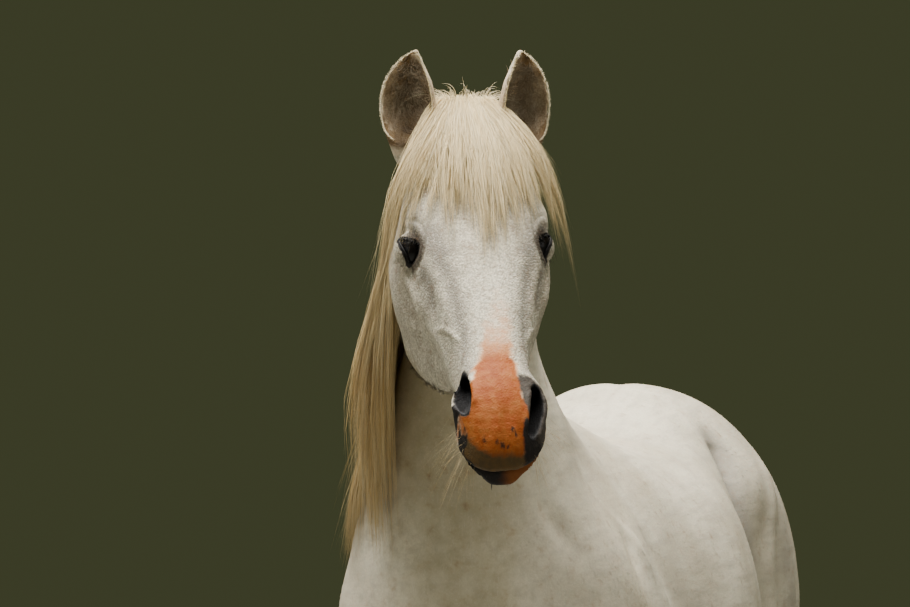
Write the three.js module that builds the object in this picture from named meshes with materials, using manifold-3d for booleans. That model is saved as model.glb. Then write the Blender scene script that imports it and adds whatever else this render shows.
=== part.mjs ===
// A pale grey riding horse standing square, alert, with its head raised and turned a little to its left.
// Millimetres, +Z up. The horse faces -Y and its left side is +X. The origin is on the floor, under the
// middle of the whole model. The flesh is modelled whole, from rings along the trunk, head and legs, and is
// then parted by thin knives into head, neck, torso, legs, hooves and ears. Mane, forelock and tail are made
// of locks.
import * as THREE from 'three';
import { mergeVertices } from 'three/addons/utils/BufferGeometryUtils.js';
import Module from 'manifold-3d';

const wasm = await Module();
wasm.setup();

// ---- driving dimensions -------------------------------------------------------------------------
const GAP = 0.3; // left between pieces that touch
const SKIN_CLEARANCE = 0.8; // hair stands this far off the skin where it is cut to it
const POLL = new THREE.Vector3(23.5, -896, 1885); // top of the head, between the ears
const FACE_PITCH = 42; // degrees that the face drops below the horizontal
const HEAD_TURN = 18.5; // degrees that the head is turned to the horse's left
const NECK_TURN_FROM = 1350; // height at which the neck starts to turn
const NECK_TURN_TO = 1800; // height at which it has turned
const NECK_SHIFT = 6; // how far the top of the neck leans to the left
const HOOF_SPREAD_FRONT = 130; // sideways distance from the middle to a fore hoof
const HOOF_SPREAD_HIND = 136;
const FORE_LEG_Y = -522; // where the fore cannon stands
const EAR_LENGTH = 126;
const EAR_WALL = 4.5;
const EYE_RADIUS = 21.5;

const deg = THREE.MathUtils.degToRad;
const vec = (x, y, z) => new THREE.Vector3(x, y, z);

// ---- making solids ------------------------------------------------------------------------------
function solidFrom(geometry) {
  const plain = geometry.clone();
  plain.deleteAttribute('normal');
  plain.deleteAttribute('uv');
  const merged = mergeVertices(plain, 1e-3);
  const vertProperties = merged.attributes.position.array;
  const made = (triVerts) => new wasm.Manifold(new wasm.Mesh({ numProp: 3, vertProperties, triVerts }));
  const triVerts = new Uint32Array(merged.index.array);
  const solid = made(triVerts);
  return solid.volume() > 0 ? solid : made(triVerts.reverse());
}

function geometryFrom(solid) {
  const { numProp, numVert, vertProperties, triVerts } = solid.getMesh();
  const position = new Float32Array(numVert * 3);
  for (let i = 0; i < numVert; i++) {
    position.set(vertProperties.subarray(i * numProp, i * numProp + 3), i * 3);
  }
  const geometry = new THREE.BufferGeometry();
  geometry.setAttribute('position', new THREE.BufferAttribute(position, 3));
  geometry.setIndex(new THREE.BufferAttribute(new Uint32Array(triVerts), 1));
  return geometry;
}

const union = (solids) => wasm.Manifold.union(solids);

// The largest closed surface of a solid: it fills sealed hollows and drops loose scraps.
function largest(solid) {
  return solid.decompose().reduce((a, b) => (b.volume() > a.volume() ? b : a));
}

// A closed skin over rings that all have the same number of points, with a fan on each end.
function loft(rings) {
  const n = rings[0].length;
  const points = rings.flat();
  const index = [];
  for (let r = 0; r + 1 < rings.length; r++)
    for (let k = 0; k < n; k++) {
      const [a, b, c, d] = [r * n + k, r * n + ((k + 1) % n), (r + 1) * n + k, (r + 1) * n + ((k + 1) % n)];
      index.push(a, b, d, a, d, c);
    }
  [0, rings.length - 1].forEach((r, end) => {
    const centre = rings[r].reduce((sum, p) => sum.add(p), vec(0, 0, 0)).divideScalar(n);
    const hub = points.push(centre) - 1;
    for (let k = 0; k < n; k++) {
      const [a, b] = [r * n + k, r * n + ((k + 1) % n)];
      index.push(...(end ? [hub, a, b] : [hub, b, a]));
    }
  });
  const geometry = new THREE.BufferGeometry().setFromPoints(points);
  geometry.setIndex(index);
  return solidFrom(geometry);
}

// A smooth row of values at t, which runs from 0 to the last row.
function along(rows, t) {
  const i = Math.min(Math.floor(t), rows.length - 2);
  const f = t - i;
  const row = (k) => rows[THREE.MathUtils.clamp(k, 0, rows.length - 1)];
  return rows[0].map((_, c) => {
    const [a, b, d, e] = [row(i - 1)[c], row(i)[c], row(i + 1)[c], row(i + 2)[c]];
    return b + 0.5 * f * (d - a + f * (2 * a - 5 * b + 4 * d - e + f * (3 * (b - d) + e - a)));
  });
}

const steps = (rows, each) =>
  Array.from({ length: (rows.length - 1) * each + 1 }, (_, i) => along(rows, i / each));

// Points round an oval whose upper and lower halves have their own heights and squareness; 2 is an ellipse.
function oval(count, half, up, down, upper, lower) {
  return Array.from({ length: count }, (_, k) => {
    const a = (2 * Math.PI * k) / count;
    const [c, s] = [Math.cos(a), Math.sin(a)];
    const power = 2 / (s >= 0 ? upper : lower);
    const round = (value) => Math.sign(value) * Math.abs(value) ** power;
    return [half * round(c), (s >= 0 ? up : down) * round(s)];
  });
}

const bell = (distance) => Math.exp(-distance * distance);

// ---- trunk and neck -----------------------------------------------------------------------------
// Each row: top line y and z, under line y and z, half width, how high up the widest point lies (0 to 1), and
// the squareness of the section above and below it.
const TRUNK = [
  [776, 1286, 780, 1150, 74, 0.5, 2.0, 2.0], // point of the buttock
  [750, 1346, 768, 1060, 150, 0.45, 2.1, 2.2],
  [690, 1418, 712, 975, 206, 0.44, 2.2, 2.3], // root of the tail
  [600, 1471, 620, 935, 244, 0.45, 2.3, 2.3],
  [490, 1505, 500, 905, 250, 0.45, 2.3, 2.3], // croup
  [370, 1508, 400, 872, 228, 0.46, 2.3, 2.2], // point of the hip
  [240, 1476, 260, 832, 234, 0.48, 2.3, 2.1], // loin
  [110, 1446, 120, 800, 266, 0.5, 2.4, 2.1], // barrel
  [-20, 1434, -20, 786, 280, 0.5, 2.4, 2.1],
  [-140, 1441, -150, 782, 276, 0.5, 2.2, 2.2], // girth
  [-250, 1468, -270, 788, 255, 0.5, 1.9, 2.4],
  [-340, 1496, -400, 800, 232, 0.5, 1.6, 2.6], // withers
  [-410, 1508, -530, 832, 214, 0.5, 1.5, 2.8],
  [-470, 1534, -655, 895, 202, 0.48, 1.5, 2.8], // shoulder
  [-525, 1580, -738, 995, 186, 0.44, 1.5, 2.5], // breast
  [-580, 1636, -764, 1125, 152, 0.4, 1.6, 2.2],
  [-640, 1698, -768, 1265, 110, 0.38, 1.7, 2.0], // base of the neck
  [-700, 1760, -770, 1400, 87, 0.4, 1.8, 2.0],
  [-755, 1812, -772, 1510, 79, 0.44, 1.9, 2.0], // middle of the neck
  [-812, 1852, -784, 1600, 78, 0.45, 2.0, 2.0], // throat
  [-868, 1868, -838, 1665, 64, 0.5, 2.0, 2.0], // sunk into the head
];

// Places on both sides where muscle or bone makes the body wider: y, z, reach in y, reach in z, share.
const TRUNK_SWELLINGS = [
  [-590, 1180, 110, 130, 0.1], // point of the shoulder
  [-440, 1330, 90, 130, 0.07], // shoulder blade
  [-400, 1030, 80, 90, 0.07], // elbow and triceps
  [-280, 1200, 60, 220, -0.05], // hollow behind the shoulder
  [385, 1350, 60, 60, 0.07], // point of the hip
  [270, 1110, 90, 130, -0.03], // flank
  [-560, 1400, 90, 60, -0.08], // hollow in front of the shoulder blade
];

function swell(p, swellings) {
  const share = ([y, z, ry, rz, s]) => s * bell(Math.hypot((p.y - y) / ry, (p.z - z) / rz));
  return p.setX(p.x * (1 + swellings.reduce((sum, row) => sum + share(row), 0)));
}

const neckTurn = (z) => THREE.MathUtils.smoothstep(z, NECK_TURN_FROM, NECK_TURN_TO);

// Turns a point of a trunk section about the section's middle, by a share of the head's turn at that height.
function turned(point, centre) {
  const turn = neckTurn(centre.z);
  const spun = point.clone().sub(centre).applyAxisAngle(vec(0, 0, 1), deg(HEAD_TURN) * turn * 0.8);
  return spun.add(centre).add(vec(NECK_SHIFT * turn, 0, 0));
}

function trunk(grow = 0, count = 26, each = 2) {
  const rings = steps(TRUNK, each).map(([ty, tz, by, bz, half, share, upper, lower]) => {
    const [top, low] = [vec(0, ty, tz), vec(0, by, bz)];
    const height = top.distanceTo(low);
    const up = top.clone().sub(low).normalize();
    const centre = low.clone().lerp(top, share);
    const place = ([x, v]) => up.clone().multiplyScalar(v).add(centre).setX(x);
    return oval(count, half + grow, height * (1 - share) + grow, height * share + grow, upper, lower)
      .map((p) => turned(swell(place(p), TRUNK_SWELLINGS), centre));
  });
  return loft(rings);
}

// ---- head ---------------------------------------------------------------------------------------
// The head is made along its own axes: u from the poll to the muzzle, v out of the forehead, x to its left.
const HEAD_FRAME = new THREE.Matrix4()
  .makeTranslation(POLL.x, POLL.y, POLL.z)
  .multiply(new THREE.Matrix4().makeRotationZ(deg(HEAD_TURN)))
  .multiply(new THREE.Matrix4().makeBasis(
    vec(1, 0, 0),
    vec(0, -Math.cos(deg(FACE_PITCH)), -Math.sin(deg(FACE_PITCH))),
    vec(0, -Math.sin(deg(FACE_PITCH)), Math.cos(deg(FACE_PITCH))),
  ));
const headPoint = (x, u, v) => vec(x, u, v).applyMatrix4(HEAD_FRAME);

// Each row: u, forehead v, jaw v, half width, height of the widest point, squareness above and below.
const HEAD = [
  [-36, -42, -120, 34, 0.5, 2.0, 2.0], // back of the skull
  [-18, -14, -160, 58, 0.6, 2.1, 2.3],
  [15, 2, -198, 74, 0.66, 2.2, 2.7], // poll
  [55, 9, -236, 84, 0.66, 2.3, 3.0],
  [100, 13, -258, 91, 0.63, 2.4, 3.2], // forehead
  [145, 15, -266, 95, 0.61, 2.5, 3.2],
  [190, 13, -264, 95, 0.6, 2.6, 3.2], // eyes
  [235, 9, -252, 90, 0.61, 2.6, 3.2],
  [280, 3, -232, 80, 0.62, 2.5, 3.1], // jowl ends
  [325, -4, -205, 68, 0.62, 2.4, 2.8],
  [370, -10, -180, 59, 0.6, 2.3, 2.5], // nasal bones
  [415, -15, -160, 52, 0.57, 2.2, 2.3],
  [460, -18, -143, 48, 0.55, 2.2, 2.1],
  [490, -19, -131, 51, 0.54, 2.2, 2.1], // chin groove
  [518, -23, -136, 55, 0.53, 2.3, 2.1], // nostrils
  [544, -31, -142, 53, 0.52, 2.4, 2.2], // chin
  [567, -43, -137, 47, 0.5, 2.4, 2.2], // lips
  [586, -58, -124, 37, 0.5, 2.2, 2.2],
  [598, -78, -108, 20, 0.5, 2.0, 2.0],
];

// Swellings and hollows of the head on both sides: centre u and v, reach in u and v, height in mm.
const HEAD_SWELLINGS = [
  [172, -30, 34, 22, 8], // brow over the eye
  [125, -38, 24, 18, -6], // hollow over the eye
  [150, -150, 90, 72, 10], // cheek muscle
  [285, -92, 70, 11, 6], // facial crest
  [335, -135, 60, 26, -5], // hollow of the cheek
  [420, -70, 60, 28, -4], // side of the nose
  [516, -58, 26, 26, 5], // wing of the nostril
  [562, -82, 24, 14, 3], // upper lip
];

function headSurface(x, u, v) {
  const height = ([cu, cv, ru, rv, mm]) => mm * bell(Math.hypot((u - cu) / ru, (v - cv) / rv));
  const out = HEAD_SWELLINGS.reduce((sum, row) => sum + height(row), 0);
  return headPoint(x + Math.sign(x) * out * Math.min(1, Math.abs(x) / 30), u, v);
}

function skull(grow = 0, count = 28, each = 2) {
  return loft(steps(HEAD, each).map(([u, top, low, half, share, upper, lower]) => {
    const height = top - low;
    const middle = low + height * share;
    return oval(count, half + grow, top - middle + grow, middle - low + grow, upper, lower)
      .map(([x, v]) => headSurface(x, u, middle + v));
  }));
}

// Each eye looks out to the side, forward and a little up. The right one is opened wider and stands further out.
const EYES = { // by side: where it sits in the head's frame, and the point that draws its upper lid into its arc
  "-1": { at: [83.5, 212.5, -59.5], upper: 43 },
  1: { at: [75, 210, -55.5], upper: 32 },
};
const EYE_LOOKS = vec(0.7, 0.46, 0.546).normalize();
const LID_LENGTH = 40; // from corner to corner
const LID_CORNERS = -6.8; // how far the corners lie below the middle of the eye
const LID_LOWER = 8; // the point that draws the lower lid into its arc
const LID_SLANT = -7; // degrees that the long axis tilts, the front corner down
const LID_THICKNESS = 3.2;

const mirrored = (side, [x, u, v]) => [side * x, u, v];

// The almond between the lids, as a prism along the eye's gaze.
function almond(side) {
  const outline = new THREE.Shape();
  outline.moveTo(-LID_LENGTH / 2, LID_CORNERS);
  outline.quadraticCurveTo(14, EYES[side].upper, LID_LENGTH / 2, LID_CORNERS);
  outline.quadraticCurveTo(12, LID_LOWER, -LID_LENGTH / 2, LID_CORNERS);
  const prism = new THREE.ExtrudeGeometry(outline, { depth: 60, bevelEnabled: false, curveSegments: 8 });
  const gaze = EYE_LOOKS.clone();
  const back = vec(0, -1, 0);
  const length = back.sub(gaze.clone().multiplyScalar(back.dot(gaze))).normalize();
  const height = gaze.clone().cross(length);
  const frame = new THREE.Matrix4().makeBasis(length.clone().negate(), height.negate(), gaze);
  prism.rotateZ(deg(LID_SLANT)).applyMatrix4(frame).translate(...EYES[side].at);
  if (side < 0) prism.scale(-1, 1, 1);
  return solidFrom(prism.applyMatrix4(HEAD_FRAME));
}

function eyeball(side, grow = 0) {
  const ball = new THREE.SphereGeometry(EYE_RADIUS + grow, 16, 8).translate(...mirrored(side, EYES[side].at));
  return solidFrom(ball.applyMatrix4(HEAD_FRAME));
}

// ---- nostrils and mouth -------------------------------------------------------------------------
// A nostril is a comma-shaped pit: rings along an arc on the front of the muzzle, deeper than they are wide. The
// right one is drawn round, and the left one is longer.
const NOSTRILS = { // by side: x, u, v and the half width
  "-1": [[41, 486, -37, 6], [44, 499, -39, 10], [45, 511, -41, 11], [46, 523, -42, 10], [46, 532, -45, 6]],
  1: [[43, 501, -39, 6], [48, 517, -45, 9.5], [46, 536, -48, 9], [40, 554, -51, 8], [34, 567, -57, 5]],
};

function nostril(side) {
  const rows = NOSTRILS[side];
  const middle = steps(rows, 1).map(([x, u, v]) => vec(side * x, u, v));
  return loft(rows.map(([, , , radius], k) => {
    const next = middle[Math.min(k + 1, rows.length - 1)];
    const onward = next.clone().sub(middle[Math.max(k - 1, 0)]).normalize();
    const outward = vec(side, 0, 0.3).cross(onward).normalize();
    const across = onward.clone().cross(outward);
    return Array.from({ length: 7 }, (_, i) => {
      const angle = (2 * Math.PI * i) / 7;
      return middle[k].clone().addScaledVector(outward, radius * (1.5 * Math.cos(angle) - 0.5))
        .addScaledVector(across, radius * Math.sin(angle)).applyMatrix4(HEAD_FRAME);
    });
  }));
}

// The slit between the lips, curved down at its corners, thinnest at its depth.
const MOUTH_CORNER = 508;
const MOUTH_SLIT = 2.4;
// In front of the lower lip, which ends behind the upper one.
const LOWER_LIP = [[620, -150], [600, -146], [592, -128], [585, -113], [574, -105]];
function mouth() {
  const line = [[MOUTH_CORNER, -107], [535, -103], [565, -100], [620, -98]];
  const outline = new THREE.Shape();
  outline.moveTo(...line[0]);
  outline.splineThru(line.slice(1).map(([u, v]) => new THREE.Vector2(u, v + MOUTH_SLIT / 2)));
  LOWER_LIP.forEach(([u, v]) => outline.lineTo(u, v));
  outline.lineTo(535, -103 - MOUTH_SLIT / 2);
  const slit = new THREE.ExtrudeGeometry(outline, { depth: 160, bevelEnabled: false, curveSegments: 3 });
  const across = new THREE.Matrix4().makeBasis(vec(0, 1, 0), vec(0, 0, 1), vec(1, 0, 0));
  return solidFrom(slit.translate(0, 0, -80).applyMatrix4(across).applyMatrix4(HEAD_FRAME));
}

// ---- ears ---------------------------------------------------------------------------------------
// Rows from the root to the tip, as shares of the ear's length: height, half width, depth, how far the tip's
// axis leans to the middle, and how far the front is open, from 0 to 1.
const EAR = [
  [-0.22, 0.15, 0.15, -0.02, 0],
  [0, 0.24, 0.2, 0, 0],
  [0.1, 0.275, 0.21, 0, 0.1],
  [0.2, 0.3, 0.21, 0, 0.5],
  [0.34, 0.31, 0.2, -0.01, 0.8],
  [0.5, 0.3, 0.175, -0.01, 0.95],
  [0.66, 0.258, 0.145, 0, 1],
  [0.8, 0.184, 0.105, 0.02, 1],
  [0.91, 0.1, 0.07, 0.06, 1],
  [1, 0.02, 0.03, 0.11, 0],
];
const EAR_ROOT = [72, 26, -38];
const EAR_UP = vec(0.065, -0.55, 0.835).normalize();
const EAR_FACES = vec(0.14, 0.74, 0.67); // where the open side looks
const EAR_CUT = 0.1; // where the ear is parted from the head, as a share of its length
const EAR_CUT_TILT = 0.75; // the parting falls off to the side with the skull
const EAR_HALF_OPENING = 58; // degrees to each side of straight ahead that the widest opening spans

function earFrame(side) {
  const up = EAR_UP.clone();
  const front = EAR_FACES.clone().sub(up.clone().multiplyScalar(EAR_FACES.dot(up))).normalize();
  const frame = new THREE.Matrix4().makeBasis(front.clone().cross(up), front, up).setPosition(...EAR_ROOT);
  if (side < 0) frame.premultiply(new THREE.Matrix4().makeScale(-1, 1, 1));
  return HEAD_FRAME.clone().multiply(frame);
}

// One ring of an ear: round the back from edge to edge, then back along the inside of the cup.
function earRing([height, half, depth, lean, open], count = 9) {
  const [a, b] = [half * EAR_LENGTH, depth * EAR_LENGTH];
  const from = deg(90 - EAR_HALF_OPENING * open);
  const swept = Math.PI + 2 * from;
  const outer = Array.from({ length: count }, (_, k) => {
    const angle = from - (swept * k) / (count - 1);
    return [a * Math.cos(angle), b * Math.sin(angle)];
  });
  const [edge, front] = outer[0];
  const floor = THREE.MathUtils.lerp(front, Math.min(-b + EAR_WALL, front), open);
  const inner = Array.from({ length: count - 2 }, (_, k) => {
    const across = 1 - (2 * (k + 1)) / (count - 1);
    const wall = Math.min(EAR_WALL, half * EAR_LENGTH * 0.3);
    const bow = Math.sqrt(1 - across * across);
    const widest = Math.max(edge, a - wall);
    const reach = THREE.MathUtils.lerp(edge, widest, bow * open) - wall * open * (1 - bow);
    return [-across * reach, THREE.MathUtils.lerp(front, floor, bow * open)];
  });
  return [...outer, ...inner].map(([x, y]) => vec(x - lean * EAR_LENGTH, y, height * EAR_LENGTH));
}

function earSolid(side) {
  const frame = earFrame(side);
  return loft(EAR.map((row) => earRing(row).map((p) => p.applyMatrix4(frame))));
}

// The ear with its cup filled and a margin all round.
function earRoom(side, margin) {
  const frame = earFrame(side);
  return loft(EAR.map(([height, half, depth, lean]) => {
    const reach = depth * EAR_LENGTH + margin;
    return oval(16, half * EAR_LENGTH + margin, reach, reach, 2, 2)
      .map(([x, y]) => vec(x - lean * EAR_LENGTH, y, height * EAR_LENGTH * 1.03).applyMatrix4(frame));
  }));
}

// ---- legs ---------------------------------------------------------------------------------------
// Each row: z, sideways shift from the hoof's line, y from the cannon, half width, reach forward, reach back.
const FORE_LEG = [
  [1180, -80, -30, 46, 60, 60],
  [1090, -36, -44, 62, 92, 96],
  [1005, -4, -44, 70, 114, 112], // upper arm
  [930, 13, -28, 67, 108, 116],
  [865, 15, -12, 60, 88, 100], // elbow
  [800, 14, -6, 55, 74, 78],
  [720, 9, -2, 49, 64, 60], // forearm
  [640, 5, 0, 42, 53, 46],
  [565, 2, 0, 37, 45, 39],
  [505, 1, 0, 40, 46, 40],
  [465, 0, 0, 44, 48, 43], // knee
  [425, 0, 0, 41, 43, 43],
  [385, 0, 1, 31, 33, 38],
  [320, 0, 2, 25, 27, 36], // cannon
  [265, 0, 2, 26, 28, 37],
  [222, 0, 0, 34, 37, 48], // fetlock
  [188, 0, -8, 32, 35, 46],
  [145, 0, -30, 27, 30, 33], // pastern
  [106, 0, -50, 36, 38, 44],
  [86, 0, -57, 46, 48, 56], // coronet
  [40, 0, -66, 56, 64, 60],
  [0, 0, -74, 63, 76, 62], // sole
];
const HIND_LEG = [
  [1350, -76, -112, 60, 70, 80],
  [1260, -50, -104, 92, 130, 126],
  [1160, -20, -112, 112, 192, 162], // thigh
  [1060, -1, -128, 121, 213, 188],
  [970, 6, -156, 106, 188, 202], // stifle
  [890, 10, -166, 86, 142, 170],
  [815, 12, -134, 70, 122, 120], // gaskin
  [740, 10, -92, 57, 98, 88],
  [675, 7, -56, 47, 74, 72],
  [622, 4, -30, 42, 58, 76],
  [582, 2, -18, 44, 58, 78], // point of the hock
  [535, 0, -12, 45, 60, 62],
  [485, 0, -6, 38, 50, 50],
  [425, 0, 0, 28, 36, 42],
  [340, 0, 2, 25, 31, 38], // cannon
  [275, 0, 3, 26, 32, 38],
  [232, 0, 0, 34, 39, 48], // fetlock
  [198, 0, -9, 32, 36, 47],
  [150, 0, -36, 27, 31, 33], // pastern
  [108, 0, -58, 36, 38, 44],
  [86, 0, -66, 45, 47, 54], // coronet
  [40, 0, -76, 54, 62, 58],
  [0, 0, -84, 60, 74, 60], // sole
];
const HIND_LEG_Y = 688;

function leg(rows, side, spread, standsAt, grow = 0, count = 12, each = 1) {
  return loft(steps(rows, each).map(([z, shift, y, half, front, back]) =>
    oval(count, half + grow, back + grow, front + grow, 2.1, 2.1)
      .map(([x, v]) => vec(side * (spread + shift + x), standsAt + y + v, z - (z === 0 ? grow : 0)))));
}

// ---- the whole flesh, and the knives that part it -----------------------------------------------
const SIDES = [['left', 1], ['right', -1]];

function flesh(grow = 0) {
  const legs = SIDES.flatMap(([, side]) => [
    leg(FORE_LEG, side, HOOF_SPREAD_FRONT, FORE_LEG_Y, grow),
    leg(HIND_LEG, side, HOOF_SPREAD_HIND, HIND_LEG_Y, grow),
  ]);
  return union([trunk(grow), skull(grow), ...legs]);
}

// A thin slab whose middle is at a point, with the given normal, length along a direction, and width.
function knife(centre, normal, lengthwise, length, width) {
  const z = normal.clone().normalize();
  const y = lengthwise.clone().sub(z.clone().multiplyScalar(lengthwise.dot(z))).normalize();
  const x = y.clone().cross(z);
  const slab = new THREE.BoxGeometry(width, length, GAP);
  return solidFrom(slab.applyMatrix4(new THREE.Matrix4().makeBasis(x, y, z).setPosition(centre)));
}

// A knife through two points of the side view, right across the horse, turned about the vertical.
function sideKnife([y1, z1], [y2, z2], width = 900, turn = 0, x = 0) {
  const [a, b] = [vec(0, y1, z1), vec(0, y2, z2)];
  const lengthwise = b.clone().sub(a);
  const normal = lengthwise.clone().cross(vec(1, 0, 0));
  const centre = a.clone().add(b).multiplyScalar(0.5).setX(x);
  const spin = (v) => v.applyAxisAngle(vec(0, 0, 1), deg(turn));
  return knife(centre, spin(normal), spin(lengthwise), lengthwise.length(), width);
}

const KNIVES = [
  sideKnife([-845, 1888], [-788, 1540], 400, HEAD_TURN, NECK_SHIFT), // head from neck
  sideKnife([-330, 1610], [-900, 1060]), // neck from torso
  sideKnife([-160, 752], [-900, 885]), // fore legs
  sideKnife([150, 790], [900, 1005]), // hind legs
  sideKnife([FORE_LEG_Y - 180, 92], [FORE_LEG_Y + 60, 52]), // fore hooves
  sideKnife([HIND_LEG_Y - 190, 92], [HIND_LEG_Y + 60, 52]), // hind hooves
  ...SIDES.map(([, side]) => {
    const frame = earFrame(side);
    const normal = vec(EAR_CUT_TILT, 0, 1).transformDirection(frame);
    const across = vec(1, 0, 0).transformDirection(frame);
    return knife(vec(0, 0, EAR_CUT * EAR_LENGTH).applyMatrix4(frame), normal, across, 104, 104);
  }),
];

const faceCuts = SIDES.flatMap(([, side]) => [almond(side), eyeball(side, GAP), nostril(side)]);
const lids = SIDES.map(([, side]) => eyeball(side, LID_THICKNESS));
const ears = SIDES.map(([, side]) => earSolid(side));
const whole = union([flesh(), ...lids, ...ears]).subtract(union([...faceCuts, mouth(), ...KNIVES]));

// ---- hair: how it lies --------------------------------------------------------------------------
// Every lock follows a path p(s), where s runs from 0 at the root to 1 at the tip, on a layer from 0 (next to
// the skin) to 1 (outermost).
const THROAT_SIDE = -72;
const skin = new THREE.Mesh(geometryFrom(flesh()), new THREE.MeshBasicMaterial({ side: THREE.DoubleSide }));
const ray = new THREE.Raycaster();

// The right side of the body at y and z, never further in than the throat.
function rightSide(y, z) {
  ray.set(vec(-900, y, z), vec(1, 0, 0));
  const [hit] = ray.intersectObject(skin);
  return Math.min(hit ? hit.point.x : 0, THROAT_SIDE);
}

const CREST_FROM = 19.75; // rows of the trunk between which the mane grows, poll to withers
const CREST_TO = 11.4;
const MANE_TIPS = [ // how far along the crest, and the height of the tips there
  [0, 1400], [0.25, 1300], [0.5, 1280], [0.75, 1325], [1, 1410],
];
const MANE_DRIFT = -26; // the mane falls a little forward of its roots
const MANE_HANGS_AT = [-88, -162]; // where its outer layer hangs, high and low

function crest(t) {
  const [ty, tz, by, bz, , share] = along(TRUNK, THREE.MathUtils.lerp(CREST_FROM, CREST_TO, t));
  const [top, low] = [vec(0, ty, tz), vec(0, by, bz)];
  return turned(top, low.clone().lerp(top, share));
}

function manePoint(t, s, layer) {
  const root = crest(t);
  const tip = along(MANE_TIPS, t * (MANE_TIPS.length - 1))[1];
  const y = root.y + MANE_DRIFT * s * (1 - 0.5 * t);
  const z = root.z + 16 * bell((s - 0.06) / 0.06) - (root.z - tip) * s ** 1.1;
  const near = rightSide(y, z) - 9;
  const far = THREE.MathUtils.lerp(...MANE_HANGS_AT, THREE.MathUtils.smoothstep(1750 - z, 0, 300));
  const hung = Math.min(near - 16 * layer, THREE.MathUtils.lerp(near, far, layer)) + 10 * s ** 4;
  return vec(THREE.MathUtils.lerp(root.x, hung, THREE.MathUtils.smoothstep(s, 0, 0.2)), y, z);
}

// The skull's own section at u, used to keep the forelock off it.
function clearOfSkull(p, off) {
  const t = HEAD.findIndex(([u]) => u > p.y);
  const [u0, u1] = [HEAD[t - 1][0], HEAD[t][0]];
  const [, top, low, half, share, upper, lower] = along(HEAD, t - 1 + (p.y - u0) / (u1 - u0));
  const middle = low + (top - low) * share;
  const above = p.z > middle;
  const [reach, power] = above ? [top - middle, upper] : [middle - low, lower];
  const [side, height] = [Math.abs(p.x / (half + 8)), Math.abs((p.z - middle) / reach)];
  const at = (side ** power + height ** power) ** (1 / power);
  const out = vec(p.x, 0, p.z - middle);
  const distance = out.length();
  return p.clone().add(out.setLength(Math.max(0, distance / at - distance) + off));
}

const FORELOCK_TIPS = [ // from the middle to the side: x, u and v of the tips
  [0, 292, 4], [30, 284, 4], [60, 250, -2], [80, 196, -8], [106, 192, -56], [124, 216, -112],
];
const FORELOCK_ROOT = 34; // half width of its root between the ears

function forelockPoint(t, s, layer) {
  const side = Math.sign(t);
  const [x, u, v] = along(FORELOCK_TIPS, Math.abs(t) * (FORELOCK_TIPS.length - 1));
  const [root, bend, tip] = [vec(FORELOCK_ROOT * t, -6, 0), vec(92 * t, 100, 26), vec(side * x, u, v)];
  const p = new THREE.QuadraticBezierCurve3(root, bend, tip).getPoint(s);
  const lift = 5 + 14 * layer * Math.sin(Math.PI * Math.min(s * 0.75 + 0.1, 1));
  return clearOfSkull(p, lift).applyMatrix4(HEAD_FRAME);
}

// The tail hangs as a full brush: height, middle y, half width and half depth.
const TAIL = [
  [1364, 768, 20, 18],
  [1354, 800, 26, 22],
  [1325, 828, 30, 28],
  [1240, 846, 38, 30],
  [1100, 850, 52, 36],
  [900, 846, 68, 44],
  [700, 840, 74, 48],
  [520, 836, 62, 42],
  [380, 834, 40, 28],
];
const TAIL_TIPS = 380;

function tailPoint(angle, from, s, layer) {
  const z = THREE.MathUtils.lerp(from, TAIL_TIPS + 130 * Math.abs(Math.sin(angle * 3 + from)), s);
  const row = TAIL.findIndex(([height]) => height <= z);
  const at = row <= 0 ? 0 : row - 1 + (TAIL[row - 1][0] - z) / (TAIL[row - 1][0] - TAIL[row][0]);
  const [, y, half, depth] = along(TAIL, at);
  const reach = 0.45 + 0.55 * layer;
  return vec(half * reach * Math.sin(angle), y + depth * reach * Math.cos(angle), z);
}

// ---- hair: locks --------------------------------------------------------------------------------
// A seeded draw, so that every build makes the same hair.
let seed = 7;
function draw(low, high) {
  seed = (seed * 1103515245 + 12345) % 2147483648;
  return low + ((high - low) * seed) / 2147483648;
}

const evenly = (count, from = 0, to = 1) =>
  Array.from({ length: count }, (_, i) => from + ((to - from) * i) / (count - 1));

// A flat lock along p(s): thin in section, bending to both sides and ending in a point. root is the share of
// its width that it has where it grows. outward(p, along) tells which way its flat side looks.
function lock(path, outward, width, thickness, look = {}) {
  const { bends = 1, sway = 6, phase = 0, rings = 6, from = 0, root = 0.4 } = look;
  const shares = evenly(rings, from, 1);
  const middle = shares.map((s) => path(s));
  const frames = middle.map((p, k) => {
    const along = middle[Math.min(k + 1, rings - 1)].clone().sub(middle[Math.max(k - 1, 0)]).normalize();
    const out = outward(p, along);
    const flat = out.sub(along.clone().multiplyScalar(out.dot(along))).normalize();
    return [flat, along.clone().cross(flat)];
  });
  return loft(middle.map((p, k) => {
    const s = (shares[k] - from) / (1 - from);
    const [flat, across] = frames[k];
    const belly = root + (1 - root) * Math.sin(Math.PI * Math.min(s * 1.2 + 0.05, 1));
    const half = (width / 2) * belly * (1 - s ** 2.2) + 0.8;
    const thick = (thickness / 2) * (1 - 0.7 * s) + 0.2;
    const bend = sway * s * Math.sin(2 * Math.PI * (bends * s + phase));
    const centre = p.clone().addScaledVector(across, bend);
    return [[half, 0], [0, thick], [-half, 0], [0, -thick]]
      .map(([x, y]) => centre.clone().addScaledVector(across, x).addScaledVector(flat, y));
  }));
}

// A closed core between an inner and an outer layer of paths, from the roots up to a share of their length.
function core(point, across, upto, outerLayer = 0.5, down = 5) {
  const face = (layer) => across.map((t) => evenly(down, 0, upto).map((s) => point(t, s, layer(s / upto))));
  const outer = face((s) => outerLayer * (1 - 0.6 * s));
  const inner = face((s) => 0.12 * s);
  return loft(outer.map((line, i) => [...line, ...inner[i].reverse()]));
}

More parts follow.
